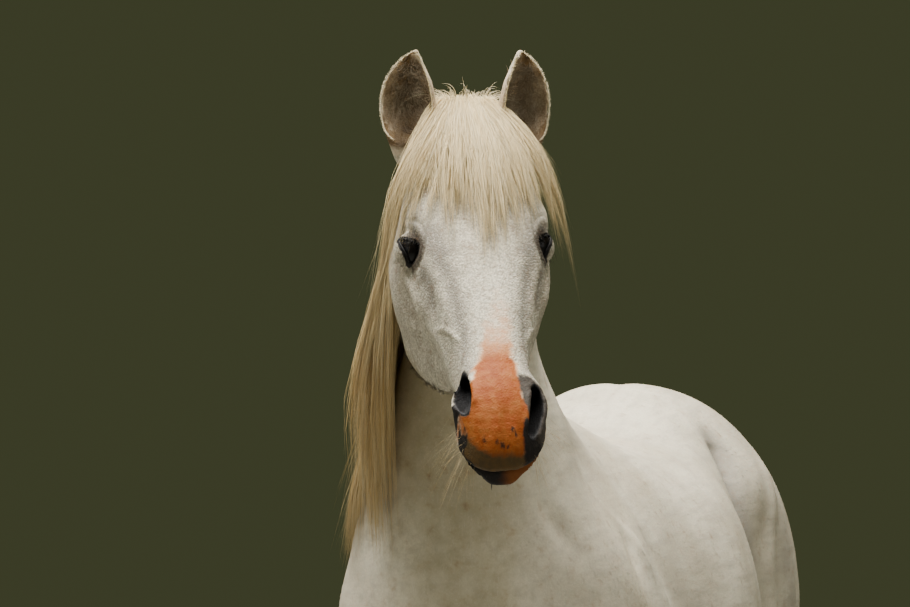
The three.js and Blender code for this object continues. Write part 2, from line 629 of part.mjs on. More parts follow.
// ---- mane: under locks that start low on the core, and over locks from the crest ----------------
const MANE_OVER = 14; // locks from the crest, the outermost layer
const MANE_UNDER = 8; // locks between them, closer to the neck
const MANE_CORE = 0.4;

// The locks lie flat over the crest. Below, they turn from the neck's side to facing forward at the throat.
function maneFaces(t, spread) {
  const angle = deg(THREE.MathUtils.lerp(68, 12, THREE.MathUtils.smoothstep(t, 0, 0.4)) + spread);
  return (p, along) => vec(-Math.cos(angle), -Math.sin(angle), 3 * (1 - Math.abs(along.z)));
}

function maneLock(i, count, layer, from, width) {
  const t = THREE.MathUtils.clamp((i + 0.5) / count + draw(-0.012, 0.012), 0.01, 0.99);
  const [stretch, slant, spread] = [draw(0.86, 1.02), draw(-0.035, 0.035), draw(-22, 22)];
  const path = (s) => manePoint(THREE.MathUtils.clamp(t + slant * s, 0, 1), s * stretch, layer);
  const look = { bends: draw(0.6, 1.1), sway: draw(5, 11), phase: draw(0, 1), from, root: 0.85 };
  return lock(path, maneFaces(t, spread), width, draw(8, 11), look);
}

const many = (length, make) => Array.from({ length }, (_, i) => make(i));

const maneForm = union([
  core(manePoint, evenly(9), MANE_CORE, 0.5, 4),
  ...many(MANE_OVER, (i) => maneLock(i, MANE_OVER, draw(0.85, 1), 0.04, draw(38, 52))),
  ...many(MANE_UNDER, (i) => maneLock(i, MANE_UNDER, draw(0.25, 0.55), 0.26, draw(32, 44))),
]);

// ---- forelock: a fan of locks over the forehead, and a few that stand up at the poll 
const FORELOCK_LOCKS = 14;
const FORELOCK_CORE = 0.4;
const POLL_TUFTS = 4;

const headOut = (p) => p.clone().sub(headPoint(0, 150, -110)).normalize();

function forelockLock(i) {
  const t = THREE.MathUtils.lerp(-0.97, 0.97, i / (FORELOCK_LOCKS - 1)) + draw(-0.02, 0.02);
  const layer = [1, 0.45, 0.75][i % 3];
  const [stretch, slant] = [draw(0.88, 1.03), draw(-0.05, 0.05)];
  const path = (s) => forelockPoint(THREE.MathUtils.clamp(t + slant * s, -1, 1), s * stretch, layer);
  const look = { bends: draw(0.5, 1), sway: draw(3, 6), phase: draw(0, 1), from: 0.03 + 0.1 * (i % 2) };
  return lock(path, headOut, draw(22, 32), draw(5, 7), look);
}

function pollTuft(i) {
  const t = THREE.MathUtils.lerp(-0.7, 0.7, i / (POLL_TUFTS - 1));
  const root = headPoint(22 * t, 0, -2);
  const bend = headPoint(30 * t, -16 + draw(-4, 4), 46 + draw(-6, 6));
  const tip = headPoint(62 * t, 8 + draw(-8, 8), 22 + draw(-6, 6));
  const curve = new THREE.QuadraticBezierCurve3(root, bend, tip);
  return lock((s) => curve.getPoint(s), () => vec(0, -1, 0.3), 12, 3.5, { rings: 5, sway: 2 });
}

const forelockForm = union([
  core(forelockPoint, evenly(9, -1, 1), FORELOCK_CORE, 0.5, 4),
  ...many(FORELOCK_LOCKS, forelockLock),
  ...many(POLL_TUFTS, pollTuft),
]);

// ---- tail: a fleshy dock, with locks in rings around it -----------------------------------------
const TAIL_RINGS = [[1360, 5, 0.72], [1285, 4, 0.95], [1150, 4, 0.85]]; // height, locks, layer

const DOCK_ROOT = [730, 1352, 30]; // y, z and the radius
const DOCK_TIP = [848, 985, 14];
const dockRows = [DOCK_ROOT, ...TAIL.slice(0, 5).map(([z, y, half]) => [y, z, half * 0.55]), DOCK_TIP];
const dock = loft(dockRows.map(([y, z, radius], k) => {
  const [y0, z0] = dockRows[Math.max(k - 1, 0)];
  const [y1, z1] = dockRows[Math.min(k + 1, dockRows.length - 1)];
  const across = vec(0, y1 - y0, z1 - z0).normalize().cross(vec(1, 0, 0));
  return oval(8, radius, radius, radius, 2, 2).map(([a, b]) => vec(a, y, z).addScaledVector(across, b));
}));

function tailLock(i, count, from, layer) {
  const angle = (2 * Math.PI * (i + draw(-0.15, 0.15))) / count + from;
  const stretch = draw(0.85, 1.02);
  const path = (s) => {
    const p = tailPoint(angle, from, s * stretch, layer);
    const inside = tailPoint(angle, from, s * stretch, 0);
    return inside.lerp(p, THREE.MathUtils.smoothstep(s, -0.05, 0.22));
  };
  const middle = (p) => vec(p.x, p.y - 846, 0);
  const look = { bends: draw(0.6, 1.2), sway: draw(5, 10), phase: draw(0, 1) };
  return lock(path, middle, draw(38, 52), draw(10, 14), look);
}

const tailLocks = ([from, count, layer]) => many(count, (i) => tailLock(i, count, from, layer));
const tailForm = union([dock, ...TAIL_RINGS.flatMap(tailLocks)]);

// ---- hair: clear of the skin, and of each other -------------------------------------------------
const clearance = union([
  flesh(SKIN_CLEARANCE),
  ...SIDES.map(([, side]) => eyeball(side, LID_THICKNESS + SKIN_CLEARANCE)),
  ...SIDES.map(([, side]) => earRoom(side, 2.5)),
]);

// Everything in front of, or behind, the plane where the head meets the neck.
function beyondThePoll(front) {
  const half = new THREE.BoxGeometry(900, 1200, 1800).translate(0, (front ? -1 : 1) * (600 + GAP / 2), 0);
  const lean = Math.atan2(845 - 788, 1888 - 1540);
  return solidFrom(half.rotateX(lean).rotateZ(deg(HEAD_TURN)).translate(NECK_SHIFT, -816, 1714));
}

const hair = {
  mane: maneForm.subtract(clearance).intersect(beyondThePoll(false)),
  forelock: forelockForm.subtract(clearance).intersect(beyondThePoll(true)),
  tail: tailForm.subtract(clearance),
};

// ---- materials ----------------------------------------------------------------------------------
const paint = (color, roughness) => new THREE.MeshStandardMaterial({ color, roughness, metalness: 0 });
const COAT = paint(0xd8d2c6, 0.75);
const HOOF = paint(0x5a5148, 0.5);
const EYE = paint(0x15100d, 0.12);
const HAIR = paint(0xd9c7a3, 0.6);

// ---- naming the parted pieces -------------------------------------------------------------------
function middleOf(solid) {
  const { min, max } = solid.boundingBox();
  return vec((min[0] + max[0]) / 2, (min[1] + max[1]) / 2, (min[2] + max[2]) / 2);
}

function nameOf(middle) {
  const side = middle.x > 0 ? 'left' : 'right';
  const end = middle.y < 0 ? 'front' : 'hind';
  if (middle.z < 100) return `hoof_${end}_${side}`;
  if (middle.z < 700) return `leg_${end}_${side}`;
  if (middle.z > 1850) return `ear_${side}`;
  if (middle.z < 1300) return 'torso';
  return middle.y < -950 ? 'head' : 'neck';
}

const SMALLEST = 1000; // mm3: scraps below this are dropped
const horse = new THREE.Group();
horse.name = 'horse';

function addNode(name, solid, material) {
  const mesh = new THREE.Mesh(geometryFrom(largest(solid)), material);
  mesh.name = name;
  horse.add(mesh);
  return mesh;
}

for (const piece of whole.decompose().filter((p) => p.volume() > SMALLEST)) {
  const name = nameOf(middleOf(piece));
  addNode(name, piece, name.startsWith('hoof') ? HOOF : COAT);
}
SIDES.forEach(([name, side]) => addNode(`eye_${name}`, eyeball(side), EYE));
Object.entries(hair).forEach(([name, solid]) => addNode(name, solid, HAIR));

// The origin goes to the floor, under the middle of the model.
const box = new THREE.Box3().setFromObject(horse);
horse.position.copy(box.getCenter(vec(0, 0, 0)).negate().setZ(-box.min.z));

export default horse;
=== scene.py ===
import bmesh
import bpy
import numpy as np
from mathutils import Matrix, Vector
from mathutils.bvhtree import BVHTree


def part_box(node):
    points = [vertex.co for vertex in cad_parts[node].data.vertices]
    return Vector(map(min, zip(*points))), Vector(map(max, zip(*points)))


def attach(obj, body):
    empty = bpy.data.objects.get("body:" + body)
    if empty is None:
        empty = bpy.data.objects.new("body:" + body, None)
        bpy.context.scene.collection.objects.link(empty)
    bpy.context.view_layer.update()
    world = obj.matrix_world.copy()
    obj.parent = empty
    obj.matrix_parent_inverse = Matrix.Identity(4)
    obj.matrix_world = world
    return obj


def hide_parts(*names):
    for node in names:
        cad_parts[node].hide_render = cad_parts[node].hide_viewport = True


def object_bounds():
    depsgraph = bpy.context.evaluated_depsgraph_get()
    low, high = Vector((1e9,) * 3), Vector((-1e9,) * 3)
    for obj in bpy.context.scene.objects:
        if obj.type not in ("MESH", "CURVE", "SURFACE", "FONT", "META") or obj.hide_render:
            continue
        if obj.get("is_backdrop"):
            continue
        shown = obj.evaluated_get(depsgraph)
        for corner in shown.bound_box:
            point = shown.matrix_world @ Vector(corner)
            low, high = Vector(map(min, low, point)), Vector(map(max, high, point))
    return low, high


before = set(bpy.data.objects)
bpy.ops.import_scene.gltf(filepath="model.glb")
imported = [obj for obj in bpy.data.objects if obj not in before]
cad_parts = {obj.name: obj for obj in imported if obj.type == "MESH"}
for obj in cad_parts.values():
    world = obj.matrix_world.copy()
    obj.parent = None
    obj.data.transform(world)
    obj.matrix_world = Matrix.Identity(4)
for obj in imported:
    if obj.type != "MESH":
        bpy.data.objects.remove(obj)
cad_box = [list(corner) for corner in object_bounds()]


# ---- skin: one hide over trunk, neck, head, ears and legs ------------------------------------------------
# The living form under the coat, without a seam. It is drawn as rings of the trunk, head, legs and ears
# that run into each other, opened at eyes, nostrils and mouth, and then given its bones, veins and folds.
COAT_DEPTH = 1.5  # mm that the short coat stands on the skin
POLL = np.array([23.5, -896, 1885.0])
FACE_PITCH = np.radians(42)
HEAD_TURN = np.radians(18.5)
NECK_TURN = (1350, 1800)  # the heights between which the neck turns to the head
NECK_FOLLOWS = 0.8  # the share of the head's turn that the neck follows
NECK_SHIFT = 6  # mm that its upper end stands to the left
NECK_LEAN = 16  # mm that its lower part bends to the right
HOOF_SPREAD = {"front": 130, "hind": 136}
LEG_STANDS = {"front": -522, "hind": 688}
SIDES = {"left": 1, "right": -1}

# top line y and z, under line y and z, half width, height of the widest point, squareness above and below
TRUNK = np.array([
    [776, 1286, 780, 1150, 74, 0.5, 2.0, 2.0],
    [750, 1346, 768, 1060, 150, 0.45, 2.1, 2.2],
    [690, 1418, 712, 975, 206, 0.44, 2.2, 2.3],
    [600, 1471, 620, 935, 244, 0.45, 2.3, 2.3],
    [490, 1505, 500, 905, 250, 0.45, 2.3, 2.3],
    [370, 1508, 400, 872, 228, 0.46, 2.3, 2.2],
    [240, 1476, 260, 832, 234, 0.48, 2.3, 2.1],
    [110, 1446, 120, 800, 266, 0.5, 2.4, 2.1],
    [-20, 1434, -20, 786, 280, 0.5, 2.4, 2.1],
    [-140, 1441, -150, 782, 276, 0.5, 2.2, 2.2],
    [-250, 1468, -270, 788, 255, 0.5, 1.9, 2.4],
    [-340, 1496, -400, 800, 232, 0.5, 1.6, 2.6],
    [-410, 1508, -530, 832, 214, 0.5, 1.5, 2.8],
    [-470, 1534, -655, 895, 202, 0.48, 1.5, 2.8],
    [-525, 1580, -738, 995, 186, 0.44, 1.5, 2.5],
    [-580, 1636, -764, 1125, 152, 0.4, 1.6, 2.2],
    [-640, 1698, -768, 1265, 110, 0.38, 1.7, 2.0],
    [-700, 1760, -770, 1400, 87, 0.4, 1.8, 2.0],
    [-755, 1812, -772, 1510, 79, 0.44, 1.9, 2.0],
    [-812, 1852, -784, 1600, 78, 0.45, 2.0, 2.0],
    [-868, 1868, -838, 1665, 64, 0.5, 2.0, 2.0],
])
# y, z, reach in y, reach in z, share of the width that muscle or bone adds there
TRUNK_SWELLINGS = [
    (-590, 1180, 110, 130, 0.1), (-440, 1330, 90, 130, 0.07), (-400, 1030, 80, 90, 0.07),
    (-280, 1200, 60, 220, -0.05), (385, 1350, 60, 60, 0.07), (270, 1110, 90, 130, -0.03),
    (-560, 1400, 90, 60, -0.08),
]
# u down the face, forehead v, jaw v, half width, height of the widest point, squareness above and below
HEAD = np.array([
    [-36, -42, -120, 34, 0.5, 2.0, 2.0],
    [-18, -14, -160, 58, 0.6, 2.1, 2.3],
    [15, 2, -198, 74, 0.66, 2.2, 2.7],
    [55, 9, -236, 84, 0.66, 2.3, 3.0],
    [100, 13, -258, 91, 0.63, 2.4, 3.2],
    [145, 15, -266, 95, 0.61, 2.5, 3.2],
    [190, 13, -264, 95, 0.6, 2.6, 3.2],
    [235, 9, -252, 90, 0.61, 2.6, 3.2],
    [280, 3, -232, 80, 0.62, 2.5, 3.1],
    [325, -4, -205, 68, 0.62, 2.4, 2.8],
    [370, -10, -180, 59, 0.6, 2.3, 2.5],
    [415, -15, -160, 52, 0.57, 2.2, 2.3],
    [460, -18, -143, 48, 0.55, 2.2, 2.1],
    [490, -19, -131, 51, 0.54, 2.2, 2.1],
    [518, -23, -136, 55, 0.53, 2.3, 2.1],
    [544, -31, -142, 53, 0.52, 2.4, 2.2],
    [567, -43, -137, 47, 0.5, 2.4, 2.2],
    [586, -58, -124, 37, 0.5, 2.2, 2.2],
    [598, -78, -108, 20, 0.5, 2.0, 2.0],
])
# u, v, reach in u and v, height in mm, on both sides of the head
HEAD_SWELLINGS = [
    (172, -30, 34, 22, 8), (125, -38, 24, 18, -6), (150, -150, 90, 72, 10), (285, -92, 70, 11, 6),
    (335, -135, 60, 26, -5), (420, -70, 60, 28, -4), (502, -57, 34, 28, 9), (482, -52, 17, 22, 3.5),
    (562, -82, 24, 14, 3),
]
# z, sideways shift, y from where the leg stands, half width, reach forward, reach back
LEGS = {
    "front": np.array([
        [1180, -80, -30, 46, 60, 60], [1090, -36, -44, 62, 92, 96], [1005, -4, -44, 70, 114, 112],
        [930, 13, -28, 67, 108, 116], [865, 15, -12, 60, 88, 100], [800, 14, -6, 55, 74, 78],
        [720, 9, -2, 49, 64, 60], [640, 5, 0, 42, 53, 46], [565, 2, 0, 37, 45, 39],
        [505, 1, 0, 40, 46, 40], [465, 0, 0, 44, 48, 43], [425, 0, 0, 41, 43, 43],
        [385, 0, 1, 31, 33, 38], [320, 0, 2, 25, 27, 36], [265, 0, 2, 26, 28, 37],
        [222, 0, 0, 34, 37, 48], [188, 0, -8, 32, 35, 46], [145, 0, -30, 27, 30, 33],
        [106, 0, -50, 36, 38, 44], [86, 0, -57, 46, 48, 56], [60, 0, -62, 40, 44, 48],
    ]),
    "hind": np.array([
        [1350, -76, -112, 60, 70, 80], [1260, -50, -104, 92, 130, 126], [1160, -20, -112, 112, 192, 162],
        [1060, -1, -128, 121, 213, 188], [970, 6, -156, 106, 188, 202], [890, 10, -166, 86, 142, 170],
        [815, 12, -134, 70, 122, 120], [740, 10, -92, 57, 98, 88], [675, 7, -56, 47, 74, 72],
        [622, 4, -30, 42, 58, 76], [582, 2, -18, 44, 58, 78], [535, 0, -12, 45, 60, 62],
        [485, 0, -6, 38, 50, 50], [425, 0, 0, 28, 36, 42], [340, 0, 2, 25, 31, 38],
        [275, 0, 3, 26, 32, 38], [232, 0, 0, 34, 39, 48], [198, 0, -9, 32, 36, 47],
        [150, 0, -36, 27, 31, 33], [108, 0, -58, 36, 38, 44], [86, 0, -66, 45, 47, 54],
        [60, 0, -71, 39, 43, 46],
    ]),
}


def along(rows, t):
    """A smooth row of values at each t, which runs from 0 to the last row."""
    rows = np.asarray(rows, float)
    t = np.atleast_1d(np.asarray(t, float))
    i = np.clip(np.floor(t).astype(int), 0, len(rows) - 2)
    f = (t - i)[:, None]
    a, b, d, e = (rows[np.clip(i + k, 0, len(rows) - 1)] for k in (-1, 0, 1, 2))
    return b + 0.5 * f * (d - a + f * (2 * a - 5 * b + 4 * d - e + f * (3 * (b - d) + e - a)))


def smooth(x, low, high):
    """0 below low, 1 above high, and a soft step between them."""
    f = np.clip((x - low) / (high - low), 0, 1)
    return f * f * (3 - 2 * f)


def bell(distance):
    return np.exp(-distance * distance)


def unit(v):
    return v / np.maximum(np.linalg.norm(v, axis=-1, keepdims=True), 1e-12)


def spun(points, angle):
    """Points turned about the vertical by an angle for each."""
    c, s = np.cos(angle), np.sin(angle)
    x, y, z = np.moveaxis(points, -1, 0)
    return np.stack([x * c - y * s, x * s + y * c, z], -1)


def oval(count, half, up, down, upper, lower):
    """Rings of points, one ring for each row of sizes."""
    a = np.arange(count) * 2 * np.pi / count
    c, s = np.cos(a)[None], np.sin(a)[None]
    half, up, down, upper, lower = (np.atleast_1d(v)[:, None] for v in (half, up, down, upper, lower))
    power = 2 / np.where(s >= 0, upper, lower)
    bent = lambda v: np.sign(v) * np.abs(v) ** power
    return half * bent(c), np.where(s >= 0, up, down) * bent(s)


# The head has its own axes: x to its left, u from the poll to the muzzle and v out of the forehead.
U_AXIS = np.array([0, -np.cos(FACE_PITCH), -np.sin(FACE_PITCH)])
V_AXIS = np.array([0, -np.sin(FACE_PITCH), np.cos(FACE_PITCH)])
HEAD_AXES = spun(np.array([[1.0, 0, 0], U_AXIS, V_AXIS]), np.full(3, HEAD_TURN))
# By side, where each eye sits and the point that draws its upper lid into its arc. The left lid is drawn up a
# little more.
EYE_AT = {1: np.array([75, 210, -55.5]), -1: np.array([83.5, 212.5, -59.5])}
UPPER_LID = {1: 54, -1: 51}
EYE_RADIUS = 21.5


def from_head(p):
    return POLL + np.asarray(p, float) @ HEAD_AXES


def to_head(p):
    return (np.asarray(p, float) - POLL) @ HEAD_AXES.T


# The model's frame is the drawing's, moved so that the eyes meet the eyes of the solids.
eye_low, eye_high = (np.array(corner) * 1000 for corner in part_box("eye_left"))
SHIFT = (eye_low + eye_high) / 2 - from_head(EYE_AT[1])
SHIFT[[0, 2]] = 0


def placed(points):
    """From the drawing's millimetres to metres in the model's frame."""
    return (np.asarray(points) + SHIFT) / 1000


def drawn(points):
    """From metres in the model's frame to the drawing's millimetres."""
    return np.asarray(points, float) * 1000 - SHIFT


def loft(rings):
    """Vertices and faces of a closed skin over rings of equal length, with a fan on each end."""
    rings = np.asarray(rings, float)
    m, n = rings.shape[:2]
    r, k = np.meshgrid(np.arange(m - 1), np.arange(n), indexing="ij")
    a, b = (r * n + k).ravel(), (r * n + (k + 1) % n).ravel()
    sides = np.stack([a, b, b + n, a + n], 1)
    points = np.vstack([rings.reshape(-1, 3), rings[0].mean(0), rings[-1].mean(0)])
    k, onward = np.arange(n), (np.arange(n) + 1) % n
    last = (m - 1) * n
    caps = [np.stack([np.full(n, m * n), onward, k], 1),
            np.stack([np.full(n, m * n + 1), last + k, last + onward], 1)]
    return points, [*sides.tolist(), *caps[0].tolist(), *caps[1].tolist()]


def swell(p, swellings):
    share = sum(s * bell(np.hypot((p[..., 1] - y) / ry, (p[..., 2] - z) / rz))
                for y, z, ry, rz, s in swellings)
    return p * np.stack([1 + share, np.ones_like(share), np.ones_like(share)], -1)


def turned(points, centre):
    """Turns points of trunk sections about each section's middle, as the neck turns to the head."""
    turn = smooth(centre[:, 2], *NECK_TURN)
    around = centre[:, None]
    out = spun(points - around, (HEAD_TURN * turn * NECK_FOLLOWS)[:, None]) + around
    out[..., 0] += NECK_SHIFT * turn[:, None]
    return out


def trunk_rings(t, count, grow=0.0):
    ty, tz, by, bz, half, share, upper, lower = along(TRUNK, t).T
    nil = np.zeros_like(ty)
    top, low = np.stack([nil, ty, tz], 1), np.stack([nil, by, bz], 1)
    height = np.linalg.norm(top - low, axis=1)
    centre = low + (top - low) * share[:, None]
    x, v = oval(count, half + grow, height * (1 - share) + grow, height * share + grow, upper, lower)
    p = centre[:, None] + v[..., None] * unit(top - low)[:, None]
    p[..., 0] = x
    return turned(swell(p, TRUNK_SWELLINGS), centre)


def skull_rings(t, count, grow=0.0):
    u, top, low, half, share, upper, lower = along(HEAD, t).T
    height = top - low
    middle = low + height * share
    x, v = oval(count, half + grow, top - middle + grow, middle - low + grow, upper, lower)
    v = v + middle[:, None]
    u = np.broadcast_to(u[:, None], x.shape)
    out = sum(mm * bell(np.hypot((u - cu) / ru, (v - cv) / rv)) for cu, cv, ru, rv, mm in HEAD_SWELLINGS)
    x = x + np.sign(x) * out * np.minimum(1, np.abs(x) / 30)
    return from_head(np.stack([x, u, v], -1))


def leg_rings(end, side, t, count, grow=0.0):
    z, shift, y, half, front, back = along(LEGS[end], t).T
    squareness = np.full_like(z, 2.1)
    x, v = oval(count, half + grow, back + grow, front + grow, squareness, squareness)
    x = side * (HOOF_SPREAD[end] + shift[:, None] + x)
    y = LEG_STANDS[end] + y[:, None] + v
    return np.stack([x, y, np.broadcast_to(z[:, None], x.shape)], -1)


def rows_of(table, each):
    return np.linspace(0, len(table) - 1, (len(table) - 1) * each + 1)


# height, half width, depth, lean of the axis and opening of the front, as shares of the ear's length
EAR = np.array([
    [-0.22, 0.15, 0.15, -0.02, 0], [0, 0.24, 0.2, 0, 0], [0.1, 0.275, 0.21, 0, 0.55],
    [0.2, 0.3, 0.21, 0, 0.85], [0.34, 0.31, 0.2, -0.01, 0.97], [0.5, 0.3, 0.175, -0.01, 1],
    [0.66, 0.258, 0.145, 0, 1], [0.8, 0.184, 0.105, 0.02, 1], [0.91, 0.1, 0.07, 0.06, 1],
    [1, 0.02, 0.03, 0.11, 0],
])
EAR_LENGTH = 126
EAR_WALL = 5
EAR_ROOT = np.array([72, 26, -38.0])
EAR_UP = unit(np.array([0.065, -0.55, 0.835]))
EAR_FACES = np.array([0.5, 0.66, 0.56])
EAR_HALF_OPENING = 74
ear_front = unit(EAR_FACES - EAR_UP * (EAR_FACES @ EAR_UP))
EAR_AXES = np.array([np.cross(ear_front, EAR_UP), ear_front, EAR_UP])


def mirrored(p, side):
    return np.asarray(p, float) * np.array([side, 1, 1])


def from_ear(p, side):
    return from_head(mirrored(EAR_ROOT + p @ EAR_AXES, side))


def to_ear(p, side):
    return (mirrored(to_head(p), side) - EAR_ROOT) @ EAR_AXES.T


def ear_rings(side, rows, count=25):
    """Rings from the back of the ear round to its edges, and back along the inside of the cup."""
    height, half, depth, lean, opened = (v[:, None] * 1.0 for v in along(EAR, rows).T)
    a, b = half * EAR_LENGTH, np.maximum(depth, 0.012) * EAR_LENGTH
    opened = np.clip(opened, 0, 1)
    start = np.radians(90 - EAR_HALF_OPENING * opened)
    angle = start - (np.pi + 2 * start) * np.arange(count) / (count - 1)
    outer = np.stack([a * np.cos(angle), b * np.sin(angle)], -1)
    edge, front = outer[:, :1, 0], outer[:, :1, 1]
    floor = front + (np.minimum(-b + EAR_WALL, front) - front) * opened
    across = 1 - 2 * np.arange(1, count - 1) / (count - 1)
    bow = np.sqrt(1 - across**2)
    wall = np.minimum(EAR_WALL, half * EAR_LENGTH * 0.3)
    widest = np.maximum(edge, a - wall)
    reach = edge + (widest - edge) * bow * opened - wall * opened * (1 - bow)
    inner = np.stack([-across * reach, front + (floor - front) * bow * opened], -1)
    ring = np.concatenate([outer, inner], 1)
    points = np.stack([ring[..., 0] - lean * EAR_LENGTH, ring[..., 1],
                       np.broadcast_to(height * EAR_LENGTH, ring.shape[:2])], -1)
    return from_ear(points, side)


def made(name, parts, material=None):
    """A mesh object from lists of vertices (in the drawing's millimetres) and faces."""
    points, faces, count = [], [], 0
    for vertices, polygons in parts:
        points.append(vertices)
        faces += [[i + count for i in f] for f in polygons]
        count += len(vertices)
    mesh = bpy.data.meshes.new(name)
    mesh.from_pydata(placed(np.vstack(points)).tolist(), [], faces)
    mesh.update()
    thing = bpy.data.objects.new(name, mesh)
    bpy.context.scene.collection.objects.link(thing)
    if material:
        mesh.materials.append(material)
    return thing


def outward(thing):
    """Turns every face of a closed mesh outwards."""
    form = bmesh.new()
    form.from_mesh(thing.data)
    bmesh.ops.remove_doubles(form, verts=form.verts, dist=1e-6)
    bmesh.ops.recalc_face_normals(form, faces=form.faces)
    form.to_mesh(thing.data)
    form.free()
    return thing


def settled(thing, *modifiers):
    """Applies modifiers, given as (type, settings), and leaves a plain mesh."""
    for kind, settings in modifiers:
        modifier = thing.modifiers.new(kind.lower(), kind)
        for key, value in settings.items():
            setattr(modifier, key, value)
    shaped = thing.evaluated_get(bpy.context.evaluated_depsgraph_get())
    mesh = bpy.data.meshes.new_from_object(shaped)
    thing.modifiers.clear()
    old, thing.data = thing.data, mesh
    bpy.data.meshes.remove(old)
    return thing


# The eye's opening: the gaze, the long axis between the corners, and the height across it.
EYE_LOOKS = unit(np.array([0.7, 0.46, 0.546]))
LID_LENGTH, LID_CORNERS, LID_SLANT = 40, -6.8, np.radians(-7)
LOWER_LID = 8
LID_THICKNESS = 3.4
back = np.array([0, -1.0, 0])
lid_back = -unit(back - EYE_LOOKS * (back @ EYE_LOOKS))
lid_side = -np.cross(EYE_LOOKS, -lid_back)
LID_ALONG = np.cos(LID_SLANT) * lid_back + np.sin(LID_SLANT) * lid_side
LID_ACROSS = -np.sin(LID_SLANT) * lid_back + np.cos(LID_SLANT) * lid_side


def lid_line(side, which, count, margin=0.0):
    """Points along a lid's edge from the back corner to the front one, in the plane across the gaze."""
    s = np.linspace(0, 1, count)
    half = LID_LENGTH / 2 + margin
    middle, pull = (19, UPPER_LID[side] + 2 * margin) if which == "upper" else (12, LOWER_LID - 2 * margin)
    a = (1 - s) ** 2 * -half + 2 * s * (1 - s) * middle + s**2 * half
    b = LID_CORNERS + 2 * s * (1 - s) * (pull - LID_CORNERS)
    return np.stack([a, b], 1)


def lid_ring(side, count, margin=0.0):
    """Points all round the opening between the lids."""
    return np.vstack([lid_line(side, "upper", count, margin)[:-1],
                      lid_line(side, "lower", count, margin)[:0:-1]])


def on_gaze(ab, out, side):
    """Points (a, b) across the gaze, out along it, on one side of the head."""
    out = np.broadcast_to(out, (len(ab),))
    local = EYE_AT[side] + ab[:, :1] * LID_ALONG + ab[:, 1:] * LID_ACROSS + out[:, None] * EYE_LOOKS
    return from_head(mirrored(local, side))


def ball(centre, radius, side, across=48, up=24):
    polar = np.linspace(0.02, np.pi - 0.02, up)
    turn = np.arange(across) * 2 * np.pi / across
    rings = np.stack([np.outer(np.sin(polar), np.cos(turn)), np.outer(np.sin(polar), np.sin(turn)),
                      np.outer(np.cos(polar), np.ones(across))], -1)
    return loft(from_head(mirrored(centre + rings * radius, side)))


# By side, x, u, v and half width of the nostril's pit, from its upper end to its lower one.
NOSTRILS = {
    1: np.array([[44, 500, -39, 8], [45, 517, -43, 12], [43, 536, -47, 12], [39, 553, -51, 10],
                 [34, 565, -57, 6]]),
    -1: np.array([[46, 475, -46, 10.5], [47, 487, -46, 13.5], [47.5, 501, -46, 14], [47, 515, -46, 12.5],
                  [46, 528, -48, 8]]),
}
MOUTH_CORNER = 508
MOUTH_LINE = np.array([[MOUTH_CORNER, -99], [535, -94], [565, -91], [620, -89]])
LOWER_LIP = np.array([[574, -96], [585, -104], [592, -120], [600, -142], [620, -148]])
LIP_TILT = 0.13  # how far the lips rise towards the left side
NOSTRIL_OPENS = unit(np.array([0.42, 0.66, 0.62]))  # forward and to the side


def nostril(side):
    rows = along(NOSTRILS[side], rows_of(NOSTRILS[side], 4))
    middle, radius = rows[:, :3], rows[:, 3:]
    onward = unit(np.gradient(middle, axis=0))
    beside = unit(np.cross(NOSTRIL_OPENS, onward)) * radius
    ends = middle[[0, -1]] + onward[[0, -1]] * radius[[0, -1]] * [[-0.8], [0.8]]
    outline = np.vstack([ends[:1], middle + beside, ends[1:], (middle - beside)[::-1]])
    centre = outline.mean(0)
    rings = [centre + (outline - centre) * share + NOSTRIL_OPENS * deep
             for deep, share in ((24, 1.04), (2, 1), (-10, 0.92), (-20, 0.75), (-30, 0.4))]
    return loft(from_head(mirrored(np.array(rings), side)))


def mouth():
    upper = MOUTH_LINE + [[0, 1.6]]
    outline = np.vstack([[[MOUTH_CORNER - 4, -99]], upper[1:], LOWER_LIP[::-1], [[535, -96]]])
    rings = [np.column_stack([np.full(len(outline), x), outline + [0, LIP_TILT * x]]) for x in (-80, 80)]
    return loft(from_head(np.array(rings)))


def eye_opening(side):
    return loft(np.array([on_gaze(lid_ring(side, 14), out, side) for out in (2, 60)]))


ears = [loft(ear_rings(side, np.linspace(0, len(EAR) - 1, 46))) for side in SIDES.values()]
lid_balls = [ball(EYE_AT[side], EYE_RADIUS + LID_THICKNESS, side) for side in SIDES.values()]
cuts = [make(side) for side in SIDES.values() for make in (nostril, eye_opening)]
cuts += [ball(EYE_AT[side], EYE_RADIUS + 0.4, side) for side in SIDES.values()] + [mouth()]

hide = outward(made("skin", [loft(skull_rings(rows_of(HEAD, 8), 96, -COAT_DEPTH))]))
for n, part in enumerate(lid_balls + cuts):
    tool = outward(made(f"tool_{n}", [part]))
    joins = n < len(lid_balls)
    settled(hide, ("BOOLEAN", {"operation": "UNION" if joins else "DIFFERENCE", "object": tool,
                               "solver": "MANIFOLD"}))
    bpy.data.objects.remove(tool)

others = [loft(trunk_rings(rows_of(TRUNK, 8), 128, -COAT_DEPTH)), *ears]
others += [loft(leg_rings(end, side, rows_of(LEGS[end], 6), 72, -COAT_DEPTH)) for end in LEGS
           for side in SIDES.values()]
rest_of_it = [outward(made(f"form_{n}", [part])) for n, part in enumerate(others)]
form = bmesh.new()
for thing in [hide, *rest_of_it]:
    form.from_mesh(thing.data)
form.to_mesh(hide.data)
form.free()
for thing in rest_of_it:
    bpy.data.objects.remove(thing)

